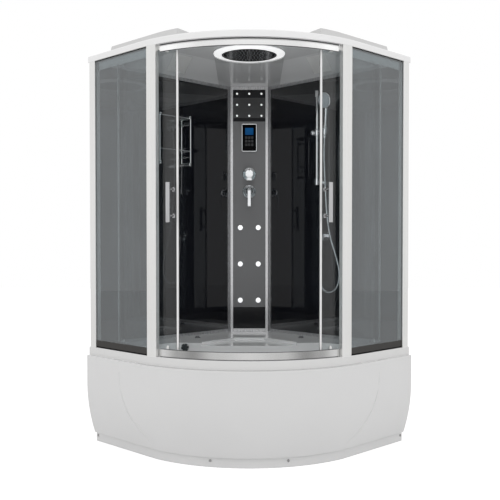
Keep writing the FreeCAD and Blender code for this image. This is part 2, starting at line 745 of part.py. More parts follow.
def make_waste_set():
    """Drain, trap and overflow, joined by the overflow's pipe under the tub."""
    gap = value("seat_gap")
    drain_y = corner_y - value("drain_front")
    floor = value(BOWL_FLOOR)
    bore = value("spigot_bore")
    axis_z = value("spigot_height")
    spot = Vector(0, drain_y, 0)
    trap_low = value("trap_low")
    cup_top = floor - value("shell_wall") - gap
    flange = Part.makeCylinder(value("drain_flange"), 3, spot + Z_AXIS * (floor + gap))
    neck = Part.makeCylinder(value("drain_neck"), floor - trap_low - 20, spot + Z_AXIS * (trap_low + 20))
    cup_radius = value("trap_radius")
    cup = Part.makeCylinder(cup_radius, cup_top - trap_low, spot + Z_AXIS * trap_low)
    cup = cup.makeFillet(6, [edge for edge in cup.Edges if len(edge.Vertexes) == 1][:2])
    reach = value("spigot_reach")
    spigot_start = spot + Vector(0, 0, axis_z)
    shoulder = Part.makeCylinder(value("spigot_radius") + 3, value("spigot_neck"), spigot_start, Y_AXIS)
    spigot = Part.makeCylinder(value("spigot_radius"), reach, spigot_start, Y_AXIS).fuse(shoulder)
    spigot_hole = Part.makeCylinder(bore, reach + 1, spigot_start, Y_AXIS)
    shaft = Part.makeCylinder(bore, floor + 10 - axis_z, spigot_start)
    inner_cup = Part.makeCylinder(cup_radius - 3, cup_top - trap_low - 6, spot + Z_AXIS * (trap_low + 3))
    face = overflow_rod("overflow_radius", gap, gap + 6)
    place, out = overflow_place()
    back = -value("shell_wall") - 34
    throat = overflow_rod("overflow_radius / 2", back, gap + 6)
    elbow = place + out * back
    start = Vector(elbow.x, elbow.y, elbow.z)
    low = Vector(elbow.x, elbow.y, value("overflow_pipe_height"))
    trap_side = Vector(0, drain_y, low.z)
    turn_y = Vector(elbow.x, drain_y + value("overflow_pipe_turn"), low.z)
    path = [start, low, turn_y, trap_side]
    pipe = swept_rod(path, value("overflow_radius / 2 + 1"), 30)
    solid = flange.fuse([neck, cup, spigot, face, throat, pipe])
    solid = solid.cut([inner_cup.common(cup), spigot_hole, shaft])
    return keep(feature("waste_pipes", solid), "waste_set")


def swept_rod(points, radius, bend):
    """A round tube along straight runs joined by arcs of one radius."""
    wire = Part.Wire(rounded_runs(points, lambda *place: bend))
    direction = (points[1] - points[0]).normalize()
    circle = Part.Wire(Part.makeCircle(radius, points[0], direction))
    return wire.makePipeShell([circle], True, False)


def make_waste_knob():
    """Star knob that opens the plug, on the overflow's face."""
    body = doc.addObject("PartDesign::Body", "star_knob")
    pad(body, draw_circle(sketch_on(body, "core"), "knob_core"), "knob_thick")
    lobe = draw_circle(sketch_on(body, "lobe", across="knob_core"), "knob_lobe")
    lobe_pad = pad(body, lobe, "knob_thick * 0.75")
    ring_of(body, lobe_pad, "knob_lobes")
    place, out = overflow_place()
    base = place + out * (value("seat_gap * 2") + 6)
    body.Placement = Placement(base, Rotation(Z_AXIS, out))
    return keep(body, "waste_knob")


# ------------------------------------------------------------------ the apron
def apron_section(grow, skin):
    """Section of the apron: upright skirt, a curve inwards, a step and a foot band."""
    top = value("rim_height - rim_depth - seat_gap")
    bulge = -value("apron_bulge") - grow
    straight = value("apron_straight")
    foot = value("plinth_height")
    curve_end = value("apron_foot_inset") - grow
    plinth = value("plinth_inset") - grow
    middle_inset = value("apron_middle_inset") - grow
    middle = value("apron_middle")
    inner = skin
    return [
        (0, top), (bulge, top), (bulge, straight),
        (middle_inset, middle, "bend"), (curve_end, foot),
        (plinth, foot), (plinth, 0),
        (plinth + inner, 0), (plinth + inner, foot + inner), (curve_end + inner, foot + inner),
        (middle_inset + inner, middle, "bend"), (bulge + inner, straight),
        (bulge + inner, top - inner), (0, top - inner),
    ]


def shield_wire():
    """Front outline of the raised field: straight sides, round lower corners, foot."""
    half = value("shield_half")
    top = value("rim_height")
    shoulder = value("shield_top")
    radius = value("shield_radius")
    foot_half = value("shield_foot_half")
    centre_x = half - radius
    foot_z = shoulder - math.sqrt(radius ** 2 - (foot_half - centre_x) ** 2)
    middle_turn = math.asin((shoulder - foot_z) / radius) / 2
    middle = Vector(
        centre_x + radius * math.cos(middle_turn), 0, shoulder - radius * math.sin(middle_turn)
    )
    right = [Vector(half, 0, top), Vector(half, 0, shoulder), middle]
    right += [Vector(foot_half, 0, foot_z), Vector(foot_half, 0, -1)]
    left = [Vector(-point.x, 0, point.z) for point in right]
    edges = []
    for side in (right, left):
        edges.append(Part.LineSegment(side[0], side[1]).toShape())
        edges.append(Part.Arc(side[1], side[2], side[3]).toShape())
        edges.append(Part.LineSegment(side[3], side[4]).toShape())
    edges.append(Part.LineSegment(right[0], left[0]).toShape())
    edges.append(Part.LineSegment(right[4], left[4]).toShape())
    return wire_of(edges)


def make_front_apron():
    skin = value("apron_wall")
    rise = value("shield_rise")
    end_gap = 2
    shell = moulding(apron_section(0, skin), end_gap, rim_run - end_gap)
    raised = moulding(apron_section(rise, skin + rise), end_gap, rim_run - end_gap)
    field = Part.Face(shield_wire()).extrude(Vector(0, -3 * front_radius, 0))
    field.translate(Vector(0, front_axis_y + front_radius / 2, 0))
    apron = shell.fuse(raised.common(field)).removeSplitter()
    return keep(feature("apron_moulding", apron), "front_apron")


def make_apron_screws():
    """Four screws through the foot band."""
    middle_turn = math.asin(value("screw_half") / (front_radius - value("plinth_inset")))
    middle_station = rim_run / 2 - front_radius * middle_turn
    end = value("screw_end_gap")
    solids = []
    for station in (end, middle_station, rim_run - middle_station, rim_run - end):
        near_middle = end < station < rim_run - end
        inset = value("plinth_inset") - (value("shield_rise") if near_middle else 0)
        face = rim_point(station, inset, value("screw_height"))
        outwards = (rim_point(station, -1) - rim_point(station, 0)).normalize()
        head = Part.makeCylinder(value("screw_head"), value("screw_proud"), face, outwards)
        rim_edge = head.Edges[0]
        solids.append(head.makeFillet(value("screw_proud") * 0.4, [rim_edge]))
    return keep(feature("screw_heads", Part.makeCompound(solids)), "apron_screws")


# ------------------------------------------------------- frame under the tub
def make_tub_frame():
    """Welded square tube: two wall beams that meet in the corner, two long beams, a
    cross beam, and five legs up to the deck."""
    low = f"({FRAME_TOP} - frame_tube)"
    tall = f"rim_height - shell_wall - frame_gap - ({low})"
    beams = []
    long = "wall_run - beam_wall_gap - wall_deck / 2"
    for start, length, height in (
        ("beam_wall_gap", long, "frame_tube"),
        ("beam_wall_gap", "frame_tube", tall),
        (long, "frame_tube", tall),
    ):
        piece = box("wall_tube", length, "frame_tube", height)
        beams.append(on_right_wall(piece, start, "beam_wall_gap + frame_tube", low))
        beams.append(mirrored("wall_tube_twin", piece))
    back = "beam_half + (beam_wall_gap + frame_tube / 2) * sqrt(2)"
    cross_y = from_corner("cross_beam")
    for side in (1, -1):
        x = f"{side} * beam_half - frame_tube / 2"
        y = from_corner("beam_front")
        beams.append(box("long_tube", "frame_tube", f"beam_front - ({back})", "frame_tube", x, y, low))
        x = f"{side} * (cross_half - frame_tube / 2) - frame_tube / 2"
        beams.append(box("front_leg", "frame_tube", "frame_tube", tall, x, cross_y, low))
    beams.append(
        box("cross_tube", "cross_half * 2", "frame_tube", "frame_tube", "-cross_half", cross_y, low)
    )
    return keep(joined("welded_frame", beams), "tub_frame")


def make_feet():
    """Six levelling feet: a pad, a nut and a threaded rod each."""
    low = f"({FRAME_TOP} - frame_tube)"
    off = "(beam_wall_gap + frame_tube / 2)"
    along = "(wall_run - wall_deck / 2 - frame_tube * 2)"
    wall_x = f"(({along} - {off}) * {HALF_ROOT})"
    wall_y = from_corner(f"({along} + {off}) * {HALF_ROOT}")
    front_y = from_corner("beam_front - frame_tube")
    back_x = f"((back_foot_along - {off}) * {HALF_ROOT})"
    back_y = from_corner(f"(back_foot_along + {off}) * {HALF_ROOT}")
    spots = (
        ("beam_half", front_y),
        ("-beam_half", front_y),
        (wall_x, wall_y),
        (f"-{wall_x}", wall_y),
        (back_x, back_y),
        (f"-{back_x}", back_y),
    )
    feet = []
    for x, y in spots:
        foot_pad = cone("foot_pad", "foot_pad", "foot_pad * 0.6", "foot_pad_height", x, y)
        long = f"{low} - foot_pad_height / 2"
        stem = rod("foot_rod", "foot_rod", long, x, y, "foot_pad_height / 2")
        sizes = {"Circumradius": "foot_rod * 1.9", "Height": "foot_rod * 1.4"}
        nut = primitive("Part::Prism", "foot_nut", sizes, x, y, f"{low} - foot_rod * 1.4 - seat_gap")
        feet.append(joined("foot", [foot_pad, stem, nut]))
    return keep(group("feet", feet), "levelling_feet")


def make_generator():
    """Steam generator on the frame's back, with the pipe towards the outlets."""
    low = f"({FRAME_TOP} + seat_gap)"
    case = box(
        "generator_case", "generator_wide", "generator_deep", "generator_tall",
        "-generator_wide / 2", from_corner("generator_front"), low,
    )
    rounded = doc.addObject("Part::Fillet", "generator_body")
    rounded.Base = case
    rounded.Edges = [(number, 12.0, 12.0) for number in (1, 3, 5, 7)]
    outlet = rod(
        "steam_stub", "steam_pipe", "40",
        "generator_wide / 2 - 40", from_corner("generator_front - generator_deep / 2"),
        f"{low} + generator_tall",
    )
    filler = rod(
        "filler_stub", "steam_pipe", "30",
        "-generator_wide / 2 + 40", from_corner("generator_front - generator_deep / 2"),
        f"{low} + generator_tall",
    )
    room = box(
        "generator_room", "generator_wide - 2 * case_wall", "generator_deep - 2 * case_wall",
        "generator_tall - 2 * case_wall", "case_wall - generator_wide / 2",
        f"{from_corner('generator_front')} + case_wall", f"{low} + case_wall",
    )
    case_shell = without("generator_shell", rounded, [room])
    return keep(joined("generator", [case_shell, outlet, filler]), "steam_generator")


def make_steam_outlets():
    """Two low outlets on the deck beside the walls, each a slotted dome on a flange."""
    outlets = []
    for side in (1, -1):
        x = f"{side} * steam_across"
        y = from_corner("steam_front")
        flange = rod("steam_flange", "steam_nozzle", "3", x, y, "rim_height + seat_gap")
        cap = cone(
            "steam_cap", "steam_nozzle * 0.8", "steam_nozzle * 0.45", "steam_nozzle * 0.7",
            x, y, "rim_height + seat_gap + 3",
        )
        slot = box(
            "steam_slot", "steam_nozzle", "steam_nozzle", "3",
            f"{x} - steam_nozzle / 2", f"{y} - steam_nozzle * 1.1", "rim_height + seat_gap + 6",
        )
        outlets.append(without("steam_head", joined("steam_dome", [flange, cap]), [slot]))
    return keep(group("steam_heads", outlets), "steam_outlets")


# ------------------------------------------------------------- walls, column
def make_walls():
    """Dark glass in an aluminium frame on each side of the column."""
    long = "(wall_run - wall_frame_start - wall_frame_end)"
    tall = "(ceiling_height - rim_height - seat_gap)"
    bite = "(wall_frame_bar - frame_bite)"
    glass_long = f"({long} - 2 * {bite})"
    glass_tall = f"({tall} - 2 * {bite})"
    body = doc.addObject("PartDesign::Body", "wall_frame")
    pad(body, draw_rectangle(sketch_on(body, "outline"), long, tall), "wall_frame_deep")
    opening = draw_rectangle(
        sketch_on(body, "opening", lift="wall_frame_deep"),
        f"{long} - 2 * wall_frame_bar", f"{tall} - 2 * wall_frame_bar",
    )
    pocket(body, opening, "wall_frame_deep")
    groove = draw_rectangle(
        sketch_on(body, "groove", lift="(wall_frame_deep + glass_wall) / 2 + seat_gap"),
        f"{glass_long} + 2 * seat_gap", f"{glass_tall} + 2 * seat_gap",
    )
    pocket(body, groove, "glass_wall + 2 * seat_gap")
    middle = f"wall_frame_start + {long} / 2"
    height = f"rim_height + {tall} / 2"
    face_in = WALL_TURN * FACE_FRONT
    x = f"(({middle}) - wall_frame_back) * {HALF_ROOT}"
    y = f"{CORNER} - (({middle}) + wall_frame_back) * {HALF_ROOT}"
    put(body, x, y, height, face_in)
    keep(body, "wall_frame_right")
    keep(mirrored("wall_frame_twin", body), "wall_frame_left")
    glass = doc.addObject("PartDesign::Body", "wall_glass")
    sheet_outline = draw_rectangle(sketch_on(glass, "outline"), glass_long, glass_tall)
    pad(glass, sheet_outline, "glass_wall")
    glass_off = "(wall_frame_back + (wall_frame_deep - glass_wall) / 2)"
    x = f"(({middle}) - {glass_off}) * {HALF_ROOT}"
    y = f"{CORNER} - (({middle}) + {glass_off}) * {HALF_ROOT}"
    put(glass, x, y, height, face_in)
    keep(glass, "wall_panel_right")
    keep(mirrored("wall_glass_twin", glass), "wall_panel_left")


def make_column_frame():
    """Aluminium frame across the corner, with a groove for the column's panel."""
    tall = "(ceiling_height - rim_height - seat_gap)"
    body = doc.addObject("PartDesign::Body", "column_bars")
    outline = draw_rectangle(sketch_on(body, "outline"), "column_half * 2", tall)
    pad(body, outline, "column_frame_deep")
    opening = draw_rectangle(
        sketch_on(body, "opening", lift="column_frame_deep"),
        "(column_half - column_bar) * 2", f"{tall} - 2 * column_foot_bar",
    )
    pocket(body, opening, "column_frame_deep")
    groove = draw_rectangle(
        sketch_on(body, "groove", lift="column_frame_deep - panel_sunk + seat_gap"),
        "(column_half - column_bar + frame_bite + seat_gap) * 2",
        f"{tall} - 2 * (column_foot_bar - frame_bite - seat_gap)",
    )
    pocket(body, groove, "column_panel_wall + 2 * seat_gap")
    put(
        body, "0", f"{from_corner('column_depth')} + column_frame_deep",
        f"rim_height + {tall} / 2", FACE_FRONT,
    )
    return keep(body, "column_frame")


def make_column_panel():
    """The column's glossy panel, bored for jets, control panel, diverter and mixer."""
    tall = "(ceiling_height - rim_height - seat_gap - 2 * (column_foot_bar - frame_bite))"
    wide = "((column_half - column_bar + frame_bite) * 2)"
    middle = "((rim_height + ceiling_height) / 2)"
    body = doc.addObject("PartDesign::Body", "column_sheet")
    pad(body, draw_rectangle(sketch_on(body, "outline"), wide, tall), "column_panel_wall")
    doc.recompute()

    def bore(name, radius, across, height):
        place = sketch_on(body, name, "column_panel_wall", across, f"{height} - {middle}")
        return pocket(body, draw_circle(place, radius), "column_panel_wall")

    for name, height in (("diverter", "diverter_height"), ("mixer", "mixer_height")):
        bore(name + "_bore", "mixer_cap * 0.6", "0", height)
    window = sketch_on(body, "control_bore", "column_panel_wall", "0", f"control_height - {middle}")
    draw_rectangle(window, "control_wide - 24", "control_tall - 24")
    pocket(body, window, "column_panel_wall")
    for column in (-1, 0, 1):
        for row in (-1, 0, 1):
            bore(
                "neck_bore", "neck_jet_radius + seat_gap", f"neck_jet_pitch_across * {column}",
                f"neck_jet_height + neck_jet_pitch_up * {row}",
            )
    for side in (-1, 1):
        first = bore(
            "body_bore", "body_jet_throat + seat_gap", f"body_jet_half * {side}",
            "body_jet_height - body_jet_pitch",
        )
        row_of(body, first, "V_Axis", "body_jet_pitch * 2", "3")
    put(body, "0", f"{PANEL_FACE} + column_panel_wall", middle, FACE_FRONT)
    return keep(body, "column_panel")


def make_jets():
    """Nine neck jets and six body jets, each a turned nozzle through the panel."""
    neck = []
    front = f"({PANEL_FACE} - 3)"
    for column in (-1, 0, 1):
        for row in (-1, 0, 1):
            x = f"neck_jet_pitch_across * {column}"
            z = f"neck_jet_height + neck_jet_pitch_up * {row}"
            stem = rod("neck_stem", "neck_jet_radius", "column_panel_wall + 9", x, f"{front} + 2", z, Y_AXIS)
            tip = cone("neck_tip", "neck_jet_radius * 0.6", "neck_jet_radius", "2", x, front, z, Y_AXIS)
            neck.append(joined("neck_jet", [stem, tip]))
    keep(group("neck_jet_set", neck), "neck_jets")
    body_jets = []
    for side in (-1, 1):
        for row in (-1, 0, 1):
            x = f"body_jet_half * {side}"
            z = f"body_jet_height + body_jet_pitch * {row}"
            face = f"({FITTING_FACE} - jet_proud)"
            flange = cone(
                "jet_flange", "body_jet_radius * 0.8", "body_jet_radius", "jet_proud",
                x, face, z, Y_AXIS,
            )
            long = "jet_proud + column_panel_wall + 14"
            throat = rod("jet_throat", "body_jet_throat", long, x, face, z, Y_AXIS)
            dish = cone(
                "jet_dish", "body_jet_throat * 0.85", "body_jet_throat * 0.5", "jet_proud * 0.7",
                x, face, z, Y_AXIS,
            )
            nozzle = primitive(
                "Part::Sphere", "jet_ball", {"Radius": "body_jet_throat * 0.5"},
                x, f"{face} + jet_proud * 0.9", z,
            )
            hollow = without("jet_body", joined("jet_shell", [flange, throat]), [dish])
            body_jets.append(joined("body_jet", [hollow, nozzle]))
    keep(group("body_jet_set", body_jets), "body_jets")


def make_controls():
    """Control panel: chrome rim, black face with touch keys, and a display."""
    bezel = doc.addObject("PartDesign::Body", "control_rim_body")
    outline = draw_rectangle(sketch_on(bezel, "outline"), "control_wide", "control_tall")
    block = pad(bezel, outline, "control_deep")
    doc.recompute()
    corners = [
        f"Edge{number}" for number, edge in enumerate(block.Shape.Edges, 1)
        if abs(edge.Vertexes[0].Z - edge.Vertexes[-1].Z) > 1
    ]
    round_corners = bezel.newObject("PartDesign::Fillet", "Fillet")
    round_corners.Base = (block, corners)
    round_corners.setExpression("Radius", formula("control_rim"))
    doc.recompute()
    recess = draw_rectangle(
        sketch_on(bezel, "recess", lift="control_deep"),
        "control_wide - 2 * control_rim", "control_tall - 2 * control_rim",
    )
    pocket(bezel, recess, "control_deep - 4")
    put(bezel, "0", FITTING_FACE, "control_height", FACE_FRONT)
    keep(bezel, "control_bezel")

    face = doc.addObject("PartDesign::Body", "control_glass")
    wide = "control_wide - 2 * control_rim - 2 * seat_gap"
    tall = "control_tall - 2 * control_rim - 2 * seat_gap"
    pad(face, draw_rectangle(sketch_on(face, "outline"), wide, tall), "control_deep - 6")
    doc.recompute()
    window = sketch_on(face, "window", "control_deep - 6", "0", "screen_rise")
    draw_rectangle(window, "screen_wide + 2 * seat_gap", "screen_tall + 2 * seat_gap")
    pocket(face, window, "2 + seat_gap")
    for column in (-1, 0, 1):
        for row in (-1, 0, 1):
            key = sketch_on(
                face, "key", "control_deep - 6.2", f"key_pitch * {column}",
                f"-keys_drop + key_pitch * {row}",
            )
            pad(face, draw_rectangle(key, "key_size", "key_size"), "0.8")
    put(face, "0", f"{FITTING_FACE} - 4 - seat_gap", "control_height", FACE_FRONT)
    keep(face, "control_face")

    screen = doc.addObject("PartDesign::Body", "display")
    pad(screen, draw_rectangle(sketch_on(screen, "outline"), "screen_wide", "screen_tall"), "2")
    put(
        screen, "0", f"{FITTING_FACE} - 4 - seat_gap - (control_deep - 8)",
        "control_height + screen_rise", FACE_FRONT,
    )
    keep(screen, "control_screen")


def make_diverter():
    """Diverter: a chrome plate and a knob that picks the outlet."""
    plate = cone(
        "diverter_disc", "fitting_plate", "fitting_plate - 3", "plate_thick",
        "0", FITTING_FACE, "diverter_height", -Y_AXIS,
    )
    spindle = rod(
        "diverter_spindle", "mixer_cap * 0.5", "plate_thick + column_panel_wall + 20",
        "0", f"{FITTING_FACE} + column_panel_wall + 20", "diverter_height", -Y_AXIS,
    )
    keep(joined("diverter_base", [plate, spindle]), "diverter_plate")
    body = doc.addObject("PartDesign::Body", "diverter_grip")
    pad(body, draw_circle(sketch_on(body, "round"), "diverter_radius"), "diverter_long")
    doc.recompute()
    flute = sketch_on(body, "flute", "diverter_long", "diverter_radius + 2.5")
    cut = pocket(body, draw_circle(flute, "5"), "diverter_long * 0.7")
    ring_of(body, cut, "8")
    put(
        body, "0", f"{FITTING_FACE} - plate_thick - seat_gap", "diverter_height", FACE_FRONT,
    )
    keep(body, "diverter_knob")


def make_mixer():
    """Mixer: plate and body, a cap that turns for heat, a lever that lifts for flow."""
    plate = cone(
        "mixer_disc", "fitting_plate", "fitting_plate - 3", "plate_thick",
        "0", FITTING_FACE, "mixer_height", -Y_AXIS,
    )
    barrel = rod(
        "mixer_barrel", "mixer_cap", "plate_thick + mixer_body_long",
        "0", FITTING_FACE, "mixer_height", -Y_AXIS,
    )
    stem = rod(
        "mixer_stem", "mixer_cap * 0.5", "column_panel_wall + 22",
        "0", f"{FITTING_FACE} + column_panel_wall + 20", "mixer_height", -Y_AXIS,
    )
    keep(joined("mixer_housing", [plate, barrel, stem]), "mixer_body")
    cap_face = f"({FITTING_FACE} - plate_thick - mixer_body_long - seat_gap)"
    cap = rod("mixer_cap_barrel", "mixer_cap", "mixer_cap_long", "0", cap_face, "mixer_height", -Y_AXIS)
    crown = primitive(
        "Part::Sphere", "mixer_cap_dome", {"Radius": "mixer_cap_long * 1.15"},
        "0", f"{cap_face} + 2", "mixer_height",
    )
    round_cap = shared("mixer_cap_round", cap, crown)
    slot = box(
        "lever_slot", "lever_wide + 2 * seat_gap + 1", "mixer_cap_long", "mixer_cap * 2",
        "-(lever_wide + 2 * seat_gap + 1) / 2", f"{cap_face} - mixer_cap_long - 6",
        "mixer_height - mixer_cap * 2 + lever_thick",
    )
    pin = rod(
        "lever_pin", "2.5", "mixer_cap * 1.5", "-mixer_cap * 0.75", LEVER_PIVOT_Y, LEVER_PIVOT_Z, X_AXIS
    )
    keep(joined("mixer_cap_set", [without("mixer_cap_cut", round_cap, [slot]), pin]), "mixer_cap_turn")
    hub = rod(
        "lever_hub", "lever_thick * 0.9", "lever_wide", "-lever_wide / 2",
        LEVER_PIVOT_Y, LEVER_PIVOT_Z, X_AXIS,
    )
    blade = primitive(
        "Part::Wedge", "lever_blade",
        {
            "Xmin": "0", "Xmax": "lever_wide", "Ymin": "0", "Ymax": "lever_long",
            "Zmin": "0", "Zmax": "lever_thick", "X2min": "lever_wide * 0.1",
            "X2max": "lever_wide * 0.9", "Z2min": "lever_thick * 0.25", "Z2max": "lever_thick * 0.8",
        },
        "-lever_wide / 2", f"{LEVER_PIVOT_Y} - lever_thick / 2", LEVER_PIVOT_Z,
        Rotation(X_AXIS, -97),
    )
    bore = rod(
        "lever_bore", "2.5 + running_gap", "mixer_cap * 2", "-mixer_cap", LEVER_PIVOT_Y, LEVER_PIVOT_Z, X_AXIS
    )
    keep(without("lever_arm", joined("lever_solid", [hub, blade]), [bore]), "mixer_lever")


LEVER_PIVOT_Y = f"({FITTING_FACE} - plate_thick - mixer_body_long - mixer_cap_long * 0.66)"
LEVER_PIVOT_Z = "mixer_height"


def make_corner_cover():
    """Bent sheet that closes the corner behind the column, with the water inlets."""
    tall = "(ceiling_height - rim_height - 2 * seat_gap)"
    end = "((column_depth - column_frame_deep) * sqrt(2) - cover_gap - cover_wall - seat_gap)"
    lip = "(wall_frame_back + 1)"
    sheets = []
    for start, off, long, deep in (
        ("cover_gap", "cover_gap + cover_wall", f"{end} - cover_gap", "cover_wall"),
        (f"{end} - cover_wall", "cover_gap + cover_wall", "cover_wall", f"cover_gap + cover_wall - {lip}"),
        (f"{end} - cover_wall", f"{lip} + cover_wall", f"wall_frame_start - seat_gap - {end} + cover_wall",
         "cover_wall"),
    ):
        leaf = on_right_wall(box("cover_leaf", long, deep, tall), start, off, "rim_height + seat_gap")
        sheets += [leaf, mirrored("cover_leaf_twin", leaf)]
    leaves = joined("cover_leaves", sheets)
    spot_x = f"(inlet_along - cover_gap) * {HALF_ROOT}"
    spot_y = f"{CORNER} - (inlet_along + cover_gap) * {HALF_ROOT}"
    holes = []
    for side in (1, -1):
        outwards = Vector(side, 1, 0)
        holes.append(
            rod(
                "inlet_hole", "inlet_radius - 1 + seat_gap", "cover_gap",
                f"{side} * ({spot_x} - cover_gap / 2 * {HALF_ROOT})",
                f"{spot_y} - cover_gap / 2 * {HALF_ROOT}", "inlet_height", outwards,
            )
        )
    return keep(without("corner_sheet", leaves, holes), "column_cover")


def make_water_pipes():
    """Valve block behind the column, its inlets and the pipe up to the rain shower."""
    gap = value("seat_gap")
    radius = value("pipe_radius")
    pipe_y = corner_y - value("column_depth - column_frame_deep - 20")
    low_z = value("mixer_height - 34")
    top_z = value("diverter_height + 34")
    block = Part.makeBox(84, 22, top_z - low_z, Vector(-42, pipe_y - 12, low_z))
    for height in ("mixer_height", "diverter_height"):
        socket = Part.makeCylinder(
            value("mixer_cap * 0.5") + gap, 40, Vector(0, pipe_y - 32, value(height)), Y_AXIS
        )
        block = block.cut(socket)
    over_z = value("vault_height + vault_skin + pipe_bend") + gap
    rain_y = corner_y - value("spine_front")
    rain_top = value("spine_low - rain_drop + rain_thick") + gap
    path = [Vector(0, pipe_y, top_z - 1), Vector(0, pipe_y, over_z)]
    path += [Vector(0, rain_y, over_z), Vector(0, rain_y, rain_top)]
    riser = swept_rod(path, radius, value("pipe_bend"))
    solids = [block, riser]
    for side in (1, -1):
        outwards = Vector(side, 1, 0) * HALF_ROOT
        along = Vector(side, -1, 0) * (value("inlet_along") * HALF_ROOT)
        wall_spot = along + Vector(0, corner_y, value("inlet_height"))
        start = wall_spot - outwards * (value("cover_gap + cover_wall") + 18)
        mouth = value("inlet_reach + cover_wall") + 18
        pin_start = wall_spot - outwards * value("cover_gap - seat_gap")
        pin = Part.makeCylinder(value("inlet_radius"), value("inlet_reach - seat_gap"), pin_start, outwards)
        stub = Part.makeCylinder(value("inlet_radius") - 1, mouth - 2, start, outwards).fuse(pin)
        hole = Part.makeCylinder(value("inlet_bore"), mouth, start + outwards * 10, outwards)
        elbow = Vector(side * 30, pipe_y, value("inlet_height"))
        feed_path = [Vector(side * 30, pipe_y, low_z + 1), elbow, start + outwards * 4]
        feed = swept_rod(feed_path, radius, value("pipe_bend"))
        solids.append(feed.fuse(stub).cut(hole))
    return keep(feature("pipework", solids[0].fuse(solids[1:])), "water_pipes")


# -------------------------------------------------- posts, rails, fixed glass
def make_posts():
    """Outer posts at the wall ends and inner posts beside the doorway."""
    low = value("rim_height")
    high = value("glazing_top")
    slot_out = value("side_glass_inset - seat_gap")
    slot_in = value("side_glass_inset + glass_wall + seat_gap")
    outer_start = value("outer_post_start")
    outer_end = outer_start + value("outer_post_wide")
    outer = band(0, value("post_deep"), low, high, outer_start, outer_end)
    slot = band(slot_out, slot_in, low, high, outer_end - 12, outer_end)
    outer = outer.cut(slot)
    long_edges = [
        edge for edge in outer.Edges
        if edge.BoundBox.ZLength > 100 and point_inset(edge.CenterOfMass) in (0, value("post_deep"))
    ]
    outer_post = feature("outer_post", outer.makeFillet(4, long_edges))
    keep(outer_post, "outer_post_right")
    keep(mirrored("outer_post_twin", outer_post), "outer_post_left")
    inner_start = value("inner_post_start")
    inner_end = inner_start + value("inner_post_wide")
    face = band(0, value("inner_post_face"), low, high, inner_start, inner_end)
    core_low = value("rim_height + rail_height + seat_gap")
    core_high = value("glazing_top - top_rail_side - seat_gap")
    core = band(1, value("inner_post_deep"), core_low, core_high, inner_start, inner_end)
    slot = band(slot_out, slot_in, low, high, inner_start, inner_start + 12)
    inner_post = feature("inner_post", face.fuse(core).cut(slot).removeSplitter())
    keep(inner_post, "inner_post_right")
    keep(mirrored("inner_post_twin", inner_post), "inner_post_left")


def point_inset(point):
    """Inset of a point beside the straight right side, rounded to the micron."""
    across = (point.x - point.y + corner_y) * HALF_ROOT
    return round(value("wall_run") - across, 3)


def make_fixed_glass():
    start = value("outer_post_start + outer_post_wide") - 11
    end = value("inner_post_start") + 11
    inset = value("side_glass_inset")
    low = value("rim_height + seat_gap")
    glass = band(inset, inset + value("glass_wall"), low, value("glazing_top - seat_gap"), start, end)
    pane = feature("side_pane", glass)
    keep(pane, "fixed_glass_right")
    keep(mirrored("side_pane_twin", pane), "fixed_glass_left")


def ring(name, outer, inner, low, high, start, end):
    """A ring piece about the doors' axis between two turns."""
    angle = f"({end}) - ({start})"
    turn = Rotation(Z_AXIS, value(start) - 90)
    sizes = {"Radius": outer, "Height": f"({high}) - ({low})", "Angle": angle}
    solid = primitive("Part::Cylinder", name + "_pie", sizes, "0", DOOR_AXIS, low, turn)
    core_sizes = {"Radius": inner, "Height": f"({high}) - ({low})", "Angle": "360"}
    core = primitive("Part::Cylinder", name + "_core", core_sizes, "0", DOOR_AXIS, low)
    return without(name, solid, [core])


def side_strips(low, high):
    """Rail strips behind the fixed glass, from the outer to the inner post."""
    inset = value("side_rail_inset")
    start = value("outer_post_start + outer_post_wide + seat_gap")
    end = value("inner_post_start + inner_post_wide")
    strip = band(inset, inset + value("rail_wall"), low, high, start, end)
    return [strip, strip.mirror(Vector(), X_AXIS)]


def rail_stays(low, high):
    """Short stays that tie the ends of a curved rail to the strips beside it."""
    turn = math.radians(value("track_turn") - 0.6)
    outwards = Vector(math.sin(turn), -math.cos(turn), 0)
    aside = Vector(outwards.y, -outwards.x, 0) * 2
    hub = Vector(0, door_axis_y, low)
    start = value("track_ring") + 1
    edge = (value("wall_run") * 2 - value("side_rail_inset") * 2 - 2) * HALF_ROOT - corner_y + door_axis_y
    reach = edge / (outwards.x - outwards.y)
    corners = [hub + outwards * start + aside, hub + outwards * start - aside]
    corners += [hub + outwards * reach - aside, hub + outwards * reach + aside]
    stay = upright(Part.makePolygon(corners + corners[:1]), high - low)
    return [stay, stay.mirror(Vector(), X_AXIS)]


def make_rails():
    """Curved rails: an upright strip with a track, and strips behind the fixed glass."""
    top = "(glazing_top - seat_gap)"
    seen = "(glazing_top - top_rail_seen)"
    strip = ring("top_strip", "track_ring + rail_wall", "track_ring", seen, top, "-track_turn", "track_turn")
    track = ring(
        "top_track", "track_ring + rail_wall / 2", "track_inner",
        "track_height - track_thick", "track_height", "-track_turn", "track_turn",
    )
    sides = side_strips(value("glazing_top - top_rail_side"), value(top))
    sides += rail_stays(value(seen), value(top))
    pieces = [feature("top_side", solid) for solid in sides]
    keep(joined("top_rail_body", [strip, track] + pieces), "top_rail")
    low = "(rim_height + seat_gap)"
    high = "(rim_height + rail_height)"
    strip = ring("low_strip", "track_ring + rail_wall", "track_ring", low, high, "-track_turn", "track_turn")
    base = ring(
        "low_base", "track_ring + rail_wall / 2", "door_radius - 4",
        low, f"{low} + rail_wall", "-track_turn", "track_turn",
    )
    bead = ring(
        "low_bead", "track_ring + rail_wall / 2", "track_inner",
        low, f"{low} + rail_wall + guide_bead - 3", "-track_turn", "track_turn",
    )
    sides = side_strips(value(low), value(high)) + rail_stays(value(low), value(high))
    pieces = [feature("low_side", solid) for solid in sides]
    keep(joined("bottom_rail_body", [strip, base, bead] + pieces), "bottom_rail")


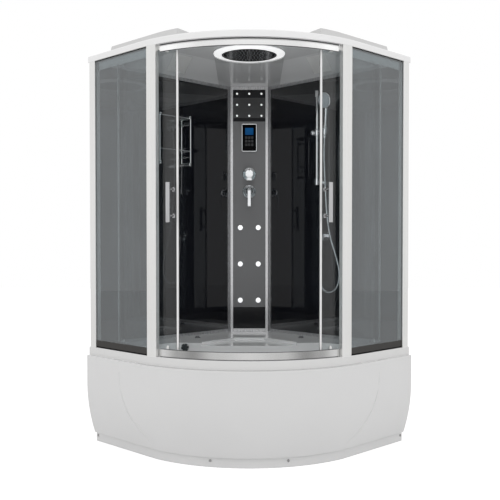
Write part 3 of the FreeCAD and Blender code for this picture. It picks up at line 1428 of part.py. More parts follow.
# ---------------------------------------------------------------------- doors
def door_point(radius, turn):
    """Formulas of the place at a radius and a turn about the doors' axis."""
    return f"({radius}) * sin({turn})", f"{DOOR_AXIS} - ({radius}) * cos({turn})"


def peg(name, size, inner, outer, turn, height):
    """A round pin that points straight out from the doors' axis."""
    angle = math.radians(value(turn))
    outwards = Vector(math.sin(angle), -math.cos(angle), 0)
    x, y = door_point(inner, turn)
    return rod(name, size, f"({outer}) - ({inner})", x, y, height, outwards)


def make_door_glass():
    """Curved door glass, bored for the handle's studs and the hangers' bolts."""
    glass = ring(
        "door_sheet", DOOR_OUTSIDE, "door_radius", "door_low", "door_top",
        "door_lead", "door_lead + door_span",
    )
    bores = []
    inside = "door_radius - 5"
    outside = f"{DOOR_OUTSIDE} + 5"
    for side in (-1, 1):
        height = f"handle_height + {side} * stud_pitch / 2"
        bores.append(peg("stud_bore", "stud_radius + seat_gap", inside, outside, "handle_turn", height))
    door = without("door_pane", glass, bores)
    keep(door, "door_glass_right")
    keep(mirrored("door_pane_twin", door), "door_glass_left")


def make_door_handle():
    """Flat bar on two studs, with nuts inside the glass."""
    x, y = door_point("handle_radius", "handle_turn")
    tangent = Rotation(Z_AXIS, value("handle_turn"))
    body = doc.addObject("PartDesign::Body", "handle_bar")
    outline = draw_rectangle(sketch_on(body, "outline"), "handle_wide", "handle_long")
    block = pad(body, outline, "handle_thick")
    doc.recompute()
    corners = [
        f"Edge{number}" for number, edge in enumerate(block.Shape.Edges, 1)
        if abs(edge.Vertexes[0].Z - edge.Vertexes[-1].Z) > 1
    ]
    rounding = body.newObject("PartDesign::Fillet", "Fillet")
    rounding.Base = (block, corners)
    rounding.setExpression("Radius", formula("handle_thick * 0.5"))
    put(body, x, y, "handle_height", tangent * FACE_FRONT)
    pieces = [body]
    for side in (-1, 1):
        height = f"handle_height + {side} * stud_pitch / 2"
        for name, size, inner, outer in (
            ("stud", "stud_radius", "door_radius - 3", "handle_radius + 1"),
            ("collar", "stud_radius + 4", f"{DOOR_OUTSIDE} + seat_gap", f"{DOOR_OUTSIDE} + seat_gap + 5"),
            ("nut", "stud_radius + 4", "door_radius - seat_gap - 6", "door_radius - seat_gap"),
        ):
            pieces.append(peg(name, size, inner, outer, "handle_turn", height))
    handle = joined("handle_set", pieces)
    keep(handle, "door_handle_right")
    keep(mirrored("handle_twin", handle), "door_handle_left")


def make_door_seals():
    """Seals along both upright edges of the door glass."""
    gap_turn = "0.025"
    head = "door_lead"
    tail = "door_lead + door_span"
    edges = (
        ("lead", f"{head} - seal_wide", f"{head} + seal_grip", f"{head} - {gap_turn}", f"{head} + 1"),
        ("trail", f"{tail} - seal_grip", f"{tail} + seal_wide", f"{tail} - 1", f"{tail} + {gap_turn}"),
    )
    seals = []
    for name, start, end, slot_start, slot_end in edges:
        profile = ring(
            name + "_strip", f"{DOOR_OUTSIDE} + seal_skin", "door_radius - seal_skin",
            "door_low", "door_top", start, end,
        )
        slot = ring(
            name + "_slot", f"{DOOR_OUTSIDE} + seat_gap", "door_radius - seat_gap",
            "door_low", "door_top", slot_start, slot_end,
        )
        seals.append(without(name + "_seal", profile, [slot]))
    pair = group("seal_pair", seals)
    keep(pair, "door_seals_right")
    keep(mirrored("seal_pair_twin", pair), "door_seals_left")


ROLLER_AXIS = "(track_height + roller_radius + seat_gap)"
ROLLER_START = f"({DOOR_OUTSIDE} + hanger_deep + 0.6)"


def make_hangers():
    """Top hangers with the rollers' axles, and hooked guides at the door's foot."""
    pieces = []
    face = f"({DOOR_OUTSIDE} + seat_gap)"
    for turn in ("hanger_front_turn", "hanger_rear_turn"):
        hanger = ring(
            "hanger_plate", f"{DOOR_OUTSIDE} + hanger_deep", face, "hanger_low", "door_top",
            f"{turn} - hanger_wide / 2", f"{turn} + hanger_wide / 2",
        )
        axle = peg("axle", "roller_axle", face, f"{ROLLER_START} + roller_wide", turn, ROLLER_AXIS)
        pieces.append(joined("hanger", [hanger, axle]))
        guide = ring(
            "guide_plate", f"{DOOR_OUTSIDE} + hanger_deep", face, "guide_low", "guide_top",
            f"{turn} - hanger_wide / 3", f"{turn} + hanger_wide / 3",
        )
        hook = ring(
            "guide_hook", "track_ring - 1.2", face, "guide_low", "guide_low + 9",
            f"{turn} - hanger_wide / 3", f"{turn} + hanger_wide / 3",
        )
        pieces.append(joined("guide", [guide, hook]))
    hangers = group("hanger_set", pieces)
    keep(hangers, "door_hangers_right")
    keep(mirrored("hanger_twin", hangers), "door_hangers_left")


def make_rollers():
    """One grooved roller on each top hanger."""
    for place, turn in (("front", "hanger_front_turn"), ("rear", "hanger_rear_turn")):
        outer = f"{ROLLER_START} + roller_wide"
        wheel = peg("wheel", "roller_radius", ROLLER_START, outer, turn, ROLLER_AXIS)
        bore = peg(
            "wheel_bore", "roller_axle + running_gap", f"{ROLLER_START} - 1",
            f"{ROLLER_START} + roller_wide + 1", turn, ROLLER_AXIS,
        )
        angle = math.radians(value(turn))
        outwards = Vector(math.sin(angle), -math.cos(angle), 0)
        x, y = door_point(f"{ROLLER_START} + roller_wide / 2", turn)
        groove = primitive(
            "Part::Torus", "wheel_groove",
            {"Radius1": "roller_radius + 1.2", "Radius2": "roller_wide / 2.6"},
            x, y, ROLLER_AXIS, Rotation(Z_AXIS, outwards),
        )
        roller = without("roller", wheel, [bore, groove])
        keep(roller, f"roller_right_{place}")
        keep(mirrored("roller_twin", roller), f"roller_left_{place}")


# ------------------------------------------------- riser rail and hand shower
def wall_point(along, off, height):
    """A point by its distance along the right wall, off it, and its height."""
    return Vector((along - off) * HALF_ROOT, corner_y - (along + off) * HALF_ROOT, height)


INTO_CABIN = Vector(-1, -1, 0) * HALF_ROOT
ALONG_WALL = Vector(1, -1, 0) * HALF_ROOT


def wall_rod(name, radius, long, along, off, height, direction):
    x = f"(({along}) - ({off})) * {HALF_ROOT}"
    y = f"{CORNER} - (({along}) + ({off})) * {HALF_ROOT}"
    return rod(name, radius, long, x, y, height, direction)


WALL_FACE = "(wall_frame_back + (wall_frame_deep + glass_wall) / 2)"


def make_riser():
    """Riser rail: a rod between two end brackets with wall flanges."""
    tall = "riser_top - riser_low"
    bar = wall_rod("riser_bar", "riser_radius", tall, "riser_along", "riser_off", "riser_low", Z_AXIS)
    pieces = [bar]
    for height in ("riser_low + 18", "riser_top - 18"):
        pieces.append(
            wall_rod(
                "riser_arm", "riser_radius * 0.9", f"riser_off - {WALL_FACE} - seat_gap",
                "riser_along", f"{WALL_FACE} + seat_gap", height, INTO_CABIN,
            )
        )
        pieces.append(
            wall_rod(
                "riser_flange", "riser_radius * 2", "6",
                "riser_along", f"{WALL_FACE} + seat_gap", height, INTO_CABIN,
            )
        )
    for height in ("riser_low", "riser_top - 36"):
        pieces.append(
            wall_rod("riser_end", "riser_radius + 4", "36", "riser_along", "riser_off", height, Z_AXIS)
        )
    return keep(joined("riser", pieces), "riser_rail")


def make_slider():
    """Slider on the riser rail, with its clamp knob and the holder's arm."""
    low = "slider_height - slider_tall / 2"
    sleeve = wall_rod(
        "slider_sleeve", "slider_radius", "slider_tall", "riser_along", "riser_off", low, Z_AXIS,
    )
    knob = wall_rod(
        "slider_knob", "slider_radius * 0.95", "slider_radius * 1.3",
        "riser_along - slider_radius * 2.1", "riser_off", "slider_height", ALONG_WALL,
    )
    stem = wall_rod(
        "slider_stem", "slider_radius * 0.5", "slider_radius * 2",
        "riser_along - slider_radius * 1.5", "riser_off", "slider_height", ALONG_WALL,
    )
    arm = wall_rod(
        "slider_arm", "slider_radius * 0.62",
        "holder_along - riser_along - holder_radius - arm_gap",
        "riser_along", "holder_off", "slider_height", ALONG_WALL,
    )
    bore = wall_rod(
        "slider_bore", "riser_radius + running_gap", "slider_tall * 2", "riser_along", "riser_off",
        "slider_height - slider_tall", Z_AXIS,
    )
    solid = joined("slider_solid", [sleeve, knob, stem, arm])
    return keep(without("slider", solid, [bore]), "rail_slider")


def handset_turn():
    """Lean of the hand shower along the wall, after facing into the cabin."""
    lean = Rotation(-INTO_CABIN, value("handset_lean"))
    return lean * Rotation(Z_AXIS, -45)


def in_holder(shape):
    """Carry a shape drawn about the holder's middle to its place on the slider."""
    spot = wall_point(value("holder_along"), value("holder_off"), value("slider_height"))
    shape.Placement = Placement(spot, handset_turn())
    return shape


def make_holder():
    """Cup that holds the hand shower's cone, slit for the hose."""
    tall = value("holder_tall")
    low = -tall / 2
    gap = value("seat_gap")
    outer = Part.makeCylinder(value("holder_radius"), tall, Vector(0, 0, low))
    inner = Part.makeCone(
        value("cone_low") + gap, value("cone_top") + gap, tall + 2, Vector(0, 0, low - 1)
    )
    slit_wide = value("hose_radius * 2 + 3")
    slit = Part.makeBox(slit_wide, 40, tall + 2, Vector(-slit_wide / 2, -40, low - 1))
    cup = feature("holder_cup", in_holder(outer.cut([inner, slit])))
    return keep(cup, "handset_holder")


def make_hand_shower():
    """Hand shower: cone and hose nut, slim grip, round head with a spray face."""
    tall = value("holder_tall")
    nut_low = -value("nut_drop")
    cone_part = Part.makeCone(value("cone_low"), value("cone_top"), tall, Vector(0, 0, -tall / 2))
    nut = Part.makeCylinder(value("cone_low") - 1, -tall / 2 - nut_low, Vector(0, 0, nut_low))
    reach = value("handle_reach")
    grip_low = tall / 2
    lower = Part.makeCone(value("cone_top"), value("cone_top") - 3, 18, Vector(0, 0, grip_low))
    upper_long = reach - grip_low - 18
    wide = value("cone_top")
    upper = Part.makeCone(wide - 3, wide, upper_long, Vector(0, 0, grip_low + 18))
    rise = value("head_rise")
    forward = value("head_forward")
    thick = value("head_thick")
    face_way = Rotation(X_AXIS, 12).multVec(Vector(0, -1, 0))
    centre = Vector(0, -forward, rise)
    head = Part.makeCylinder(value("head_radius"), thick, centre - face_way * thick, face_way)
    rear = Part.makeCone(
        value("head_radius * 0.45"), value("head_radius"), 10, centre - face_way * (thick + 10), face_way
    )
    neck = Part.makeCylinder(
        value("cone_top") - 1, 44, Vector(0, 0, reach - 8),
        Vector(0, -forward * 0.6, rise - reach),
    )
    solid = cone_part.fuse([nut, lower, upper, neck, rear, head]).removeSplitter()
    return keep(feature("hand_set", in_holder(solid)), "hand_shower")


# The hose hangs from the hand shower's nut to the outlet: distance along the wall,
# distance off it and height of each point between its two ends.
HOSE_ROUTE = (
    (676, 71, 1480), (687, 74, 1340), (703, 79, 1200), (728, 81, 1085),
    (768, 81, 990), (795, 80, 900), (787, 79, 828), (748, 78, 785),
    (695, 76, 778), (650, 73, 812), (641, 66, 892), (642, 57, 985),
)
HOSE_FIRST_RUN = 62


def make_hose():
    spot = wall_point(value("holder_along"), value("holder_off"), value("slider_height"))
    down = handset_turn().multVec(Vector(0, 0, -1))
    start = spot + down * (value("nut_drop") + 0.3)
    mouth = wall_point(
        value("outlet_along"), value("outlet_off"), value("outlet_height - outlet_drop - seat_gap")
    )
    route = [start, start + down * HOSE_FIRST_RUN]
    route += [wall_point(*point) for point in HOSE_ROUTE] + [mouth]
    radii = []

    def bend_radius(before, corner, after, half):
        shorter = min(before.distanceToPoint(corner), after.distanceToPoint(corner))
        radii.append(0.45 * shorter * math.tan(half))
        return radii[-1]

    wire = Part.Wire(rounded_runs(route, bend_radius))
    radius = value("hose_radius")
    circle = Part.Wire(Part.makeCircle(radius, start, down))
    hose = wire.makePipeShell([circle], True, False)
    wanted = math.pi * radius ** 2 * wire.Length
    print("hose length", round(wire.Length), "radii", [round(bend) for bend in radii])
    print("hose volume over section times length", round(hose.Volume / wanted, 4))
    return keep(feature("hose_tube", hose), "shower_hose")


def make_hose_outlet():
    """Wall outlet with a flange and a nozzle that points down."""
    off = f"{WALL_FACE} + seat_gap"
    flange = wall_rod("outlet_disc", "outlet_flange", "8", "outlet_along", off, "outlet_height", INTO_CABIN)
    neck = wall_rod(
        "outlet_neck", "outlet_nozzle + 2", f"outlet_off - {off}",
        "outlet_along", off, "outlet_height", INTO_CABIN,
    )
    x = f"(outlet_along - outlet_off) * {HALF_ROOT}"
    y = f"{CORNER} - (outlet_along + outlet_off) * {HALF_ROOT}"
    knee = primitive("Part::Sphere", "outlet_knee", {"Radius": "outlet_nozzle + 2.5"}, x, y, "outlet_height")
    nozzle = rod("outlet_tip", "outlet_nozzle", "outlet_drop", x, y, "outlet_height - outlet_drop")
    return keep(joined("outlet", [flange, neck, knee, nozzle]), "hose_outlet")


# ---------------------------------------------------------------------- shelf
def make_shelf():
    """Two glass shelves between four chrome rods, drawn on the right and mirrored."""
    tall = "shelf_rod_top - shelf_rod_low"
    start = f"{WALL_FACE} + seat_gap"
    frames = []
    for along in ("shelf_start", "shelf_start + shelf_long"):
        rods = []
        for off in ("shelf_near", "shelf_far"):
            rods.append(wall_rod("shelf_post", "shelf_rod", tall, along, off, "shelf_rod_low", Z_AXIS))
        for height in ("shelf_rod_top - 6", "shelf_rod_low + 10"):
            reach = f"shelf_far - {WALL_FACE} - seat_gap"
            tie = wall_rod("shelf_tie", "shelf_rod * 0.85", reach, along, start, height, INTO_CABIN)
            foot = wall_rod("shelf_foot", "shelf_rod * 2.4", "5", along, start, height, INTO_CABIN)
            rods += [tie, foot]
        for rise, size in (
            ("-shelf_rod * 0.8 - seat_gap", "shelf_rod * 0.8"),
            ("shelf_rail_rise", "shelf_rod * 0.7"),
        ):
            for shelf in ("shelf_low", "shelf_high"):
                height = f"{shelf} + {rise}"
                reach = "shelf_far - shelf_near"
                rods.append(wall_rod("shelf_bar", size, reach, along, "shelf_near", height, INTO_CABIN))
        frames.append(joined("shelf_end", rods))
    for shelf in ("shelf_low", "shelf_high"):
        height = f"{shelf} + shelf_rail_rise"
        size = "shelf_rod * 0.8"
        frames.append(
            wall_rod("shelf_rail", size, "shelf_long", "shelf_start", "shelf_far", height, ALONG_WALL)
        )
    keep(mirrored("shelf_rods_twin", joined("shelf_rods", frames, refine=False)), "shelf_frame")
    plates = []
    for height in ("shelf_low", "shelf_high"):
        plate = box(
            "shelf_plate", "shelf_long - 2 * shelf_rod - 2 * seat_gap + shelf_rod * 1.4",
            "shelf_far - shelf_near - 2 * shelf_rod - 2 * seat_gap", "shelf_glass",
        )
        on_right_wall(
            plate, "shelf_start + shelf_rod * 0.3 + seat_gap",
            "shelf_far - shelf_rod - seat_gap", height,
        )
        plates.append(plate)
    keep(mirrored("shelf_plates_twin", group("shelf_plates", plates)), "glass_shelves")


# ----------------------------------------------------------- roof and ceiling
def make_roof():
    """Roof: the crown's band, a thin cover, two front lobes and a hollow dome."""
    low = value("glazing_top")
    crown_top = low + value("crown_height")
    skin = value("roof_skin")
    wide = value("crown_wide")
    crown = [
        (0, low), (0, crown_top - 7), (2, crown_top - 2, "bend"), (7, crown_top),
        (wide, crown_top), (wide, low),
    ]
    solid = moulding(crown, 0, rim_run)
    cover = plan_slab(wide - 1, 0, crown_top - skin, crown_top)
    dome_foot = (value("dome_inset"), value("dome_wall_inset"))
    dome_top = (value("dome_top_inset"), value("dome_top_wall_inset"), value("cabin_height"))
    foot_height = value("dome_foot")
    drum = plan_slab(*dome_foot, crown_top - skin, foot_height)
    cap = plan_loft((*dome_foot, foot_height), dome_top)
    hollow_foot = (dome_foot[0] + skin, dome_foot[1] + skin)
    hollow = plan_slab(*hollow_foot, crown_top - skin - 1, foot_height)
    inside_top = (dome_top[0] + skin, dome_top[1] + skin, dome_top[2] - skin)
    hollow_cap = plan_loft((*hollow_foot, foot_height - 1), inside_top)
    roof = solid.fuse([cover, drum, cap] + make_lobes(crown_top))
    roof = roof.cut([hollow, hollow_cap] + frame_rooms(low))
    return keep(feature("roof", roof.removeSplitter()), "roof_shell")


def frame_rooms(low):
    """Room in the crown's ends for the tops of the wall frames."""
    gap = value("seat_gap")
    first = value("wall_run - crown_wide") - gap
    long = value("wall_run - wall_frame_end") + gap - first
    deep = value("wall_frame_deep") + 2 * gap
    tall = value("ceiling_height") - low + 2 * gap
    off = value("wall_frame_back + wall_frame_deep") + gap
    room = Part.makeBox(long, deep, tall, Vector(first, -off, low - gap))
    room.Placement = Placement(Vector(0, corner_y, 0), WALL_TURN)
    return [room, room.mirror(Vector(), X_AXIS)]


def lobe_edges(inset, nose_lean, height):
    """Plan of the right-hand lobe: it follows the rim from the wall end to its nose."""
    start = value("lobe_start") + nose_lean
    nose_turn = math.radians(value("lobe_nose"))
    nose = side_run + (math.pi / 4 - nose_turn) * front_radius - nose_lean
    inner = value("lobe_inset + lobe_deep")
    edges = rim_edges(inset, start, nose, height) + rim_edges(inner, start, nose, height)
    for station in (start, nose):
        first = rim_point(station, inset, height)
        edges.append(Part.LineSegment(first, rim_point(station, inner, height)).toShape())
    return edges


def make_lobes(crown_top):
    lean = value("lobe_lean")
    low = lobe_edges(value("lobe_inset"), 0, crown_top - 1)
    top = lobe_edges(value("lobe_inset") + lean, lean, value("lobe_top"))
    lobe = skinned(low, top)
    return [lobe, lobe.mirror(Vector(), X_AXIS)]


def vault():
    """The hollow under the ceiling, from its flat edge up to its flat middle."""
    low = (value("vault_inset"), value("vault_wall_inset"), value("ceiling_height") - 0.1)
    top = (value("vault_top_inset"), value("vault_top_wall_inset"), value("vault_height"))
    return plan_loft(low, top)


def make_ceiling():
    """Moulded ceiling with sloping sides and a spine from the column to the rain shower."""
    low = value("ceiling_height")
    slab_top = low + value("ceiling_slab")
    gap = value("seat_gap")
    slab = plan_slab(value("ceiling_inset"), 3, low, slab_top)
    raised_foot = (value("dome_inset + roof_skin + 1"), value("dome_wall_inset + roof_skin + 1"))
    raised = plan_slab(*raised_foot, slab_top - 1, value("vault_height + vault_skin"))
    spine_half = value("spine_half")
    column_y = corner_y - value("column_depth")
    rain_y = corner_y - value("spine_front")
    spine_low = value("spine_low")
    spine_profile = [
        Vector(0, column_y, low), Vector(0, corner_y - value("spine_flat"), spine_low),
        Vector(0, rain_y, spine_low),
        Vector(0, rain_y, value("vault_height") + 1), Vector(0, column_y, value("vault_height") + 1),
    ]
    spine = Part.Face(Part.makePolygon(spine_profile + spine_profile[:1]))
    spine = spine.extrude(Vector(2 * spine_half, 0, 0))
    spine.translate(Vector(-spine_half, 0, 0))
    nose = Part.makeCylinder(
        value("bezel_outer"), value("vault_height + 1") - spine_low, Vector(0, rain_y, spine_low)
    )
    block = slab.fuse(raised)
    spine = spine.fuse(nose).common(block)
    solid = block.cut(vault()).fuse(spine)
    seat = Part.makeCylinder(
        value("bezel_outer") + gap, value("bezel_thick - bezel_drop") + gap + 1,
        Vector(0, rain_y, spine_low - 1),
    )
    throat = Part.makeCylinder(
        value("rain_radius + seat_gap"), value("rain_thick - rain_drop") + gap + 1,
        Vector(0, rain_y, spine_low - 1),
    )
    pipe = value("pipe_radius") + gap
    pipe_y = corner_y - value("column_depth - column_frame_deep - 20")
    hole_long = value("vault_height + vault_skin") - low + 2 * gap
    hole = Part.makeCylinder(pipe, hole_long, Vector(0, pipe_y, low - gap))
    feed = Part.makeCylinder(pipe, hole_long, Vector(0, rain_y, low - gap))
    solid = solid.cut([seat, throat, hole, feed])
    for lamp in lamp_shapes(value("seat_gap")):
        solid = solid.cut(lamp)
    return keep(feature("ceiling", solid.removeSplitter()), "ceiling_panel")


def lamp_shapes(grow):
    """Two slanted lamps that follow the ceiling's slope."""
    half_long = value("lamp_long") / 2 + grow
    half_wide = value("lamp_wide") / 2 + grow
    turn = math.radians(value("lamp_turn"))
    along = Vector(-math.sin(turn), -math.cos(turn), 0) * half_long
    aside = Vector(HALF_ROOT, -HALF_ROOT, 0) * half_wide
    centre = Vector(value("lamp_across"), corner_y - value("lamp_front"), 0)
    corners = [centre + along + aside, centre + along - aside]
    corners += [centre - along - aside, centre - along + aside]
    prism = Part.Face(Part.makePolygon(corners + corners[:1])).extrude(Vector(0, 0, value("cabin_height")))
    thick = value("lamp_thick") + grow
    lifted = vault()
    lifted.translate(Vector(0, 0, thick))
    skin = lifted.cut(vault())
    lamp = prism.common(skin)
    return [lamp, lamp.mirror(Vector(), X_AXIS)]


def make_lamps():
    return keep(feature("lamps", Part.makeCompound(lamp_shapes(0))), "ceiling_lamps")


def make_rain_shower():
    """Rain shower and its bezel, at the end of the ceiling's spine."""
    y = from_corner("spine_front")
    low = "(spine_low - bezel_drop)"
    lip = cone("bezel_lip", "bezel_outer - 5", "bezel_outer", "bezel_drop", "0", y, low)
    outer = rod("bezel_body", "bezel_outer", "bezel_thick - bezel_drop", "0", y, "spine_low")
    inner = rod("bezel_bore", "bezel_inner", "bezel_thick * 2", "0", y, f"{low} - 1")
    keep(without("bezel", joined("bezel_round", [lip, outer]), [inner]), "rain_bezel")
    disc = rod("rain_disc", "rain_radius", "rain_thick", "0", y, "spine_low - rain_drop")
    keep(disc, "rain_shower")


# ------------------------------------------------------------- build and write
def build():
    make_tub_basin()
    make_front_apron()
    make_tub_frame()
    make_feet()
    make_apron_screws()
    make_waste_set()
    make_waste_knob()
    make_generator()
    make_steam_outlets()
    make_walls()
    make_column_frame()
    make_column_panel()
    make_corner_cover()
    make_water_pipes()
    make_jets()
    make_controls()
    make_diverter()
    make_mixer()
    make_posts()
    make_rails()
    make_fixed_glass()
    make_door_glass()
    make_door_handle()
    make_door_seals()
    make_hangers()
    make_rollers()
    make_riser()
    make_slider()
    make_holder()
    make_hand_shower()
    make_hose()
    make_hose_outlet()
    make_shelf()
    make_roof()
    make_ceiling()
    make_lamps()
    make_rain_shower()


def faults():
    """What is wrong with the finished document, as plain sentences."""
    found = []
    for obj in doc.Objects:
        if "Invalid" in obj.State or "Error" in obj.State:
            found.append(f"{obj.Name} ({obj.Label}) did not compute")
    for name, obj in subparts.items():
        if obj.Shape.isNull() or not obj.Shape.isValid() or not obj.Shape.Solids:
            found.append(f"{name} has no valid solid")
    return found


build()
doc.recompute()
problems = faults()
if problems:
    raise RuntimeError("; ".join(problems))
os.makedirs("parts", exist_ok=True)
for name, obj in subparts.items():
    obj.Shape.exportStep(f"parts/{name}.step")
print(len(subparts), "sub-parts written")
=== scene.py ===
"""Looks of a quadrant steam shower cabin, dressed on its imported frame.

Sizes are in millimetres where a name says so or a point is given along, off and up;
everything that reaches the scene is in metres, in the same frame as the solids:
+Z up, +Y towards the wall corner, +X to the right as seen from the room.
"""

import math

import bmesh
import bpy
import numpy as np
from mathutils import Matrix, Vector
from mathutils.bvhtree import BVHTree


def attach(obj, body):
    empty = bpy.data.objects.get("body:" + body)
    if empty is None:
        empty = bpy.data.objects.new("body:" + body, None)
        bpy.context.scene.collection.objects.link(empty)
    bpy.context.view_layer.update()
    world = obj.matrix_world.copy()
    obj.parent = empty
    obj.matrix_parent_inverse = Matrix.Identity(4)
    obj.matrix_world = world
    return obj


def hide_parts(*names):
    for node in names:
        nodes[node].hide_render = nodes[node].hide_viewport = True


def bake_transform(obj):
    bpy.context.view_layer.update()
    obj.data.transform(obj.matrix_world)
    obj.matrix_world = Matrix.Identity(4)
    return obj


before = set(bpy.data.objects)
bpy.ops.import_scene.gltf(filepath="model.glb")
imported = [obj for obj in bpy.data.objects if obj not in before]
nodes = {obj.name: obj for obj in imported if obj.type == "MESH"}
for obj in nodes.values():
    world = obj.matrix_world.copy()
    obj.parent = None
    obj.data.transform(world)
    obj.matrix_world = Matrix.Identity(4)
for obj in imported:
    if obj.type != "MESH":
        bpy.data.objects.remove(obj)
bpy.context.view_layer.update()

MM = 0.001
HALF_ROOT = math.sqrt(0.5)
WALL_RUN = 1200
FRONT_RADIUS = 760
APRON_REACH = 19  # bulge of the apron and of its middle field
CORNER_Y = ((WALL_RUN - FRONT_RADIUS) * math.sqrt(2) + FRONT_RADIUS + APRON_REACH) / 2
FRONT_AXIS_Y = 78.37
DOOR_AXIS_Y = 95.62
COLUMN_FACE = CORNER_Y - 150.3  # row y of what is fixed on the column's panel
CONTROL_HEIGHT, DIVERTER_HEIGHT, MIXER_HEIGHT = 1707, 1484, 1377
SLIDER_HEIGHT = 1694
RAIN_MIDDLE = Vector((0, -137.4, 2062)) * MM
UP = Vector((0, 0, 1))
RIGHT = Vector((1, 0, 0))
FRONT = Vector((0, -1, 0))
ALONG = {1: Vector((HALF_ROOT, -HALF_ROOT, 0)), -1: Vector((-HALF_ROOT, -HALF_ROOT, 0))}
INTO = {1: Vector((-HALF_ROOT, -HALF_ROOT, 0)), -1: Vector((HALF_ROOT, -HALF_ROOT, 0))}

EYE = Vector((0, (CORNER_Y - 5004.17) * MM, 1.0588))
PHOTO_FOCAL = 784.8  # in pixels of the photograph, as its middle is
PHOTO_MIDDLE = (249.25, 261.1)
EYE_DROP = 0.023  # slope of the view's axis below level


def wall_point(along, off, height, side=1):
    """A point by its distance along a wall from the corner, off it, and height, in metres."""
    x = side * (along - off) * HALF_ROOT
    y = CORNER_Y - (along + off) * HALF_ROOT
    return Vector((x, y, height)) * MM


def column_point(across, height, proud=0.0):
    """A point in front of the column's panel, in metres."""
    return Vector((across, COLUMN_FACE - proud, height)) * MM


# ------------------------------------------------------------------ camera
def make_camera():
    data = bpy.data.cameras.new("photo_camera")
    data.sensor_width = 36
    data.lens = 56.508
    data.shift_x = 0.0015
    data.shift_y = 0.02225
    data.clip_start = 0.05
    data.clip_end = 60
    camera = bpy.data.objects.new("photo_camera", data)
    camera.location = EYE
    camera.rotation_euler = (math.pi / 2 - math.radians(1.318), 0, 0)
    bpy.context.scene.collection.objects.link(camera)
    bpy.context.scene.camera = camera


make_camera()


# --------------------------------------------------------------- materials
def new_material(name):
    material = bpy.data.materials.new(name)
    material.use_nodes = True
    material.node_tree.nodes.clear()
    return material, material.node_tree


def feed(tree, target, value):
    """Give a node's input a number, a colour or another node's output."""
    if isinstance(value, bpy.types.NodeSocket):
        tree.links.new(value, target)
    elif target.type == "RGBA":
        target.default_value = (*value, 1)
    else:
        target.default_value = value


def add(tree, kind, values=None, **settings):
    """A new node with its settings, and its inputs by name."""
    made = tree.nodes.new(f"ShaderNode{kind}")
    for name, value in settings.items():
        setattr(made, name, value)
    for name, value in (values or {}).items():
        feed(tree, made.inputs[name], value)
    return made


def maths(tree, operation, *values):
    """The result of an operation on numbers or other nodes' outputs."""
    made = add(tree, "Math", operation=operation)
    for target, value in zip(made.inputs, values):
        feed(tree, target, value)
    return made.outputs["Value"]


def place_of(tree):
    """Where a point lies in the row frame: the vector, and its x, y and z."""
    place = add(tree, "TexCoord").outputs["Object"]
    return place, *add(tree, "SeparateXYZ", {"Vector": place}).outputs


def object_noise(tree, scale, stretch=(1, 1, 1), detail=3.0, rough=0.55):
    """Noise fixed to the piece, stretched along its axes."""
    place = add(tree, "TexCoord").outputs["Object"]
    mapping = add(tree, "Mapping", {"Vector": place, "Scale": stretch})
    return add(tree, "TexNoise", {
        "Vector": mapping.outputs["Vector"], "Scale": scale, "Detail": detail,
        "Roughness": rough,
    }).outputs["Fac"]


def spread(tree, source, low, high, start=0.3, end=0.7):
    """Map noise to a narrow range of a shader's input."""
    return add(tree, "MapRange", {
        "Value": source, "From Min": start, "From Max": end, "To Min": low, "To Max": high,
    }).outputs["Result"]


def mixed(tree, factor, first, second):
    """A colour between two others."""
    values = {"Factor": factor, "A": first, "B": second}
    return add(tree, "Mix", values, data_type="RGBA").outputs["Result"]


def layered(tree, share, under, over):
    """A share of one shader over another."""
    mix = add(tree, "MixShader", {"Fac": share})
    feed(tree, mix.inputs[1], under)
    feed(tree, mix.inputs[2], over)
    return mix.outputs["Shader"]


def show(tree, surface):
    feed(tree, add(tree, "OutputMaterial").inputs["Surface"], surface)


def between(tree, source, low, high):
    """1 where a value lies between two others."""
    return maths(tree, "COMPARE", source, (low + high) / 2, (high - low) / 2)


def bumped(tree, height, strength, distance, round_edge=0.0):
    """Small relief from noise, over edges that catch light as if slightly rounded."""
    edge = None
    if round_edge:
        edge = add(tree, "Bevel", {"Radius": round_edge}, samples=4).outputs["Normal"]
    if not strength:
        return edge
    values = {"Strength": strength, "Distance": distance, "Height": height}
    if edge:
        values["Normal"] = edge
    return add(tree, "Bump", values).outputs["Normal"]


def tone_above(tree, under, colour, height):
    """Another tone above a height."""
    return mixed(tree, maths(tree, "GREATER_THAN", place_of(tree)[3], height), under, colour)


def tone_in_beam(tree, under, colour, half_wide, front):
    """Another tone in a band from the column to the rain shower."""
    _, x, y, _ = place_of(tree)
    narrow = maths(tree, "LESS_THAN", maths(tree, "ABSOLUTE", x), half_wide)
    behind = maths(tree, "GREATER_THAN", y, front)
    return mixed(tree, maths(tree, "MULTIPLY", narrow, behind), under, colour)


def tone_outside(tree, under, colour, radius, height):
    """Another tone outside a radius about the front's axis and below a height."""
    _, x, y, z = place_of(tree)
    deep = maths(tree, "SUBTRACT", y, FRONT_AXIS_Y * MM)
    squares = [maths(tree, "MULTIPLY", value, value) for value in (x, deep)]
    wide = maths(tree, "GREATER_THAN", maths(tree, "ADD", *squares), radius ** 2)
    low = maths(tree, "LESS_THAN", z, height)
    return mixed(tree, maths(tree, "MULTIPLY", wide, low), under, colour)


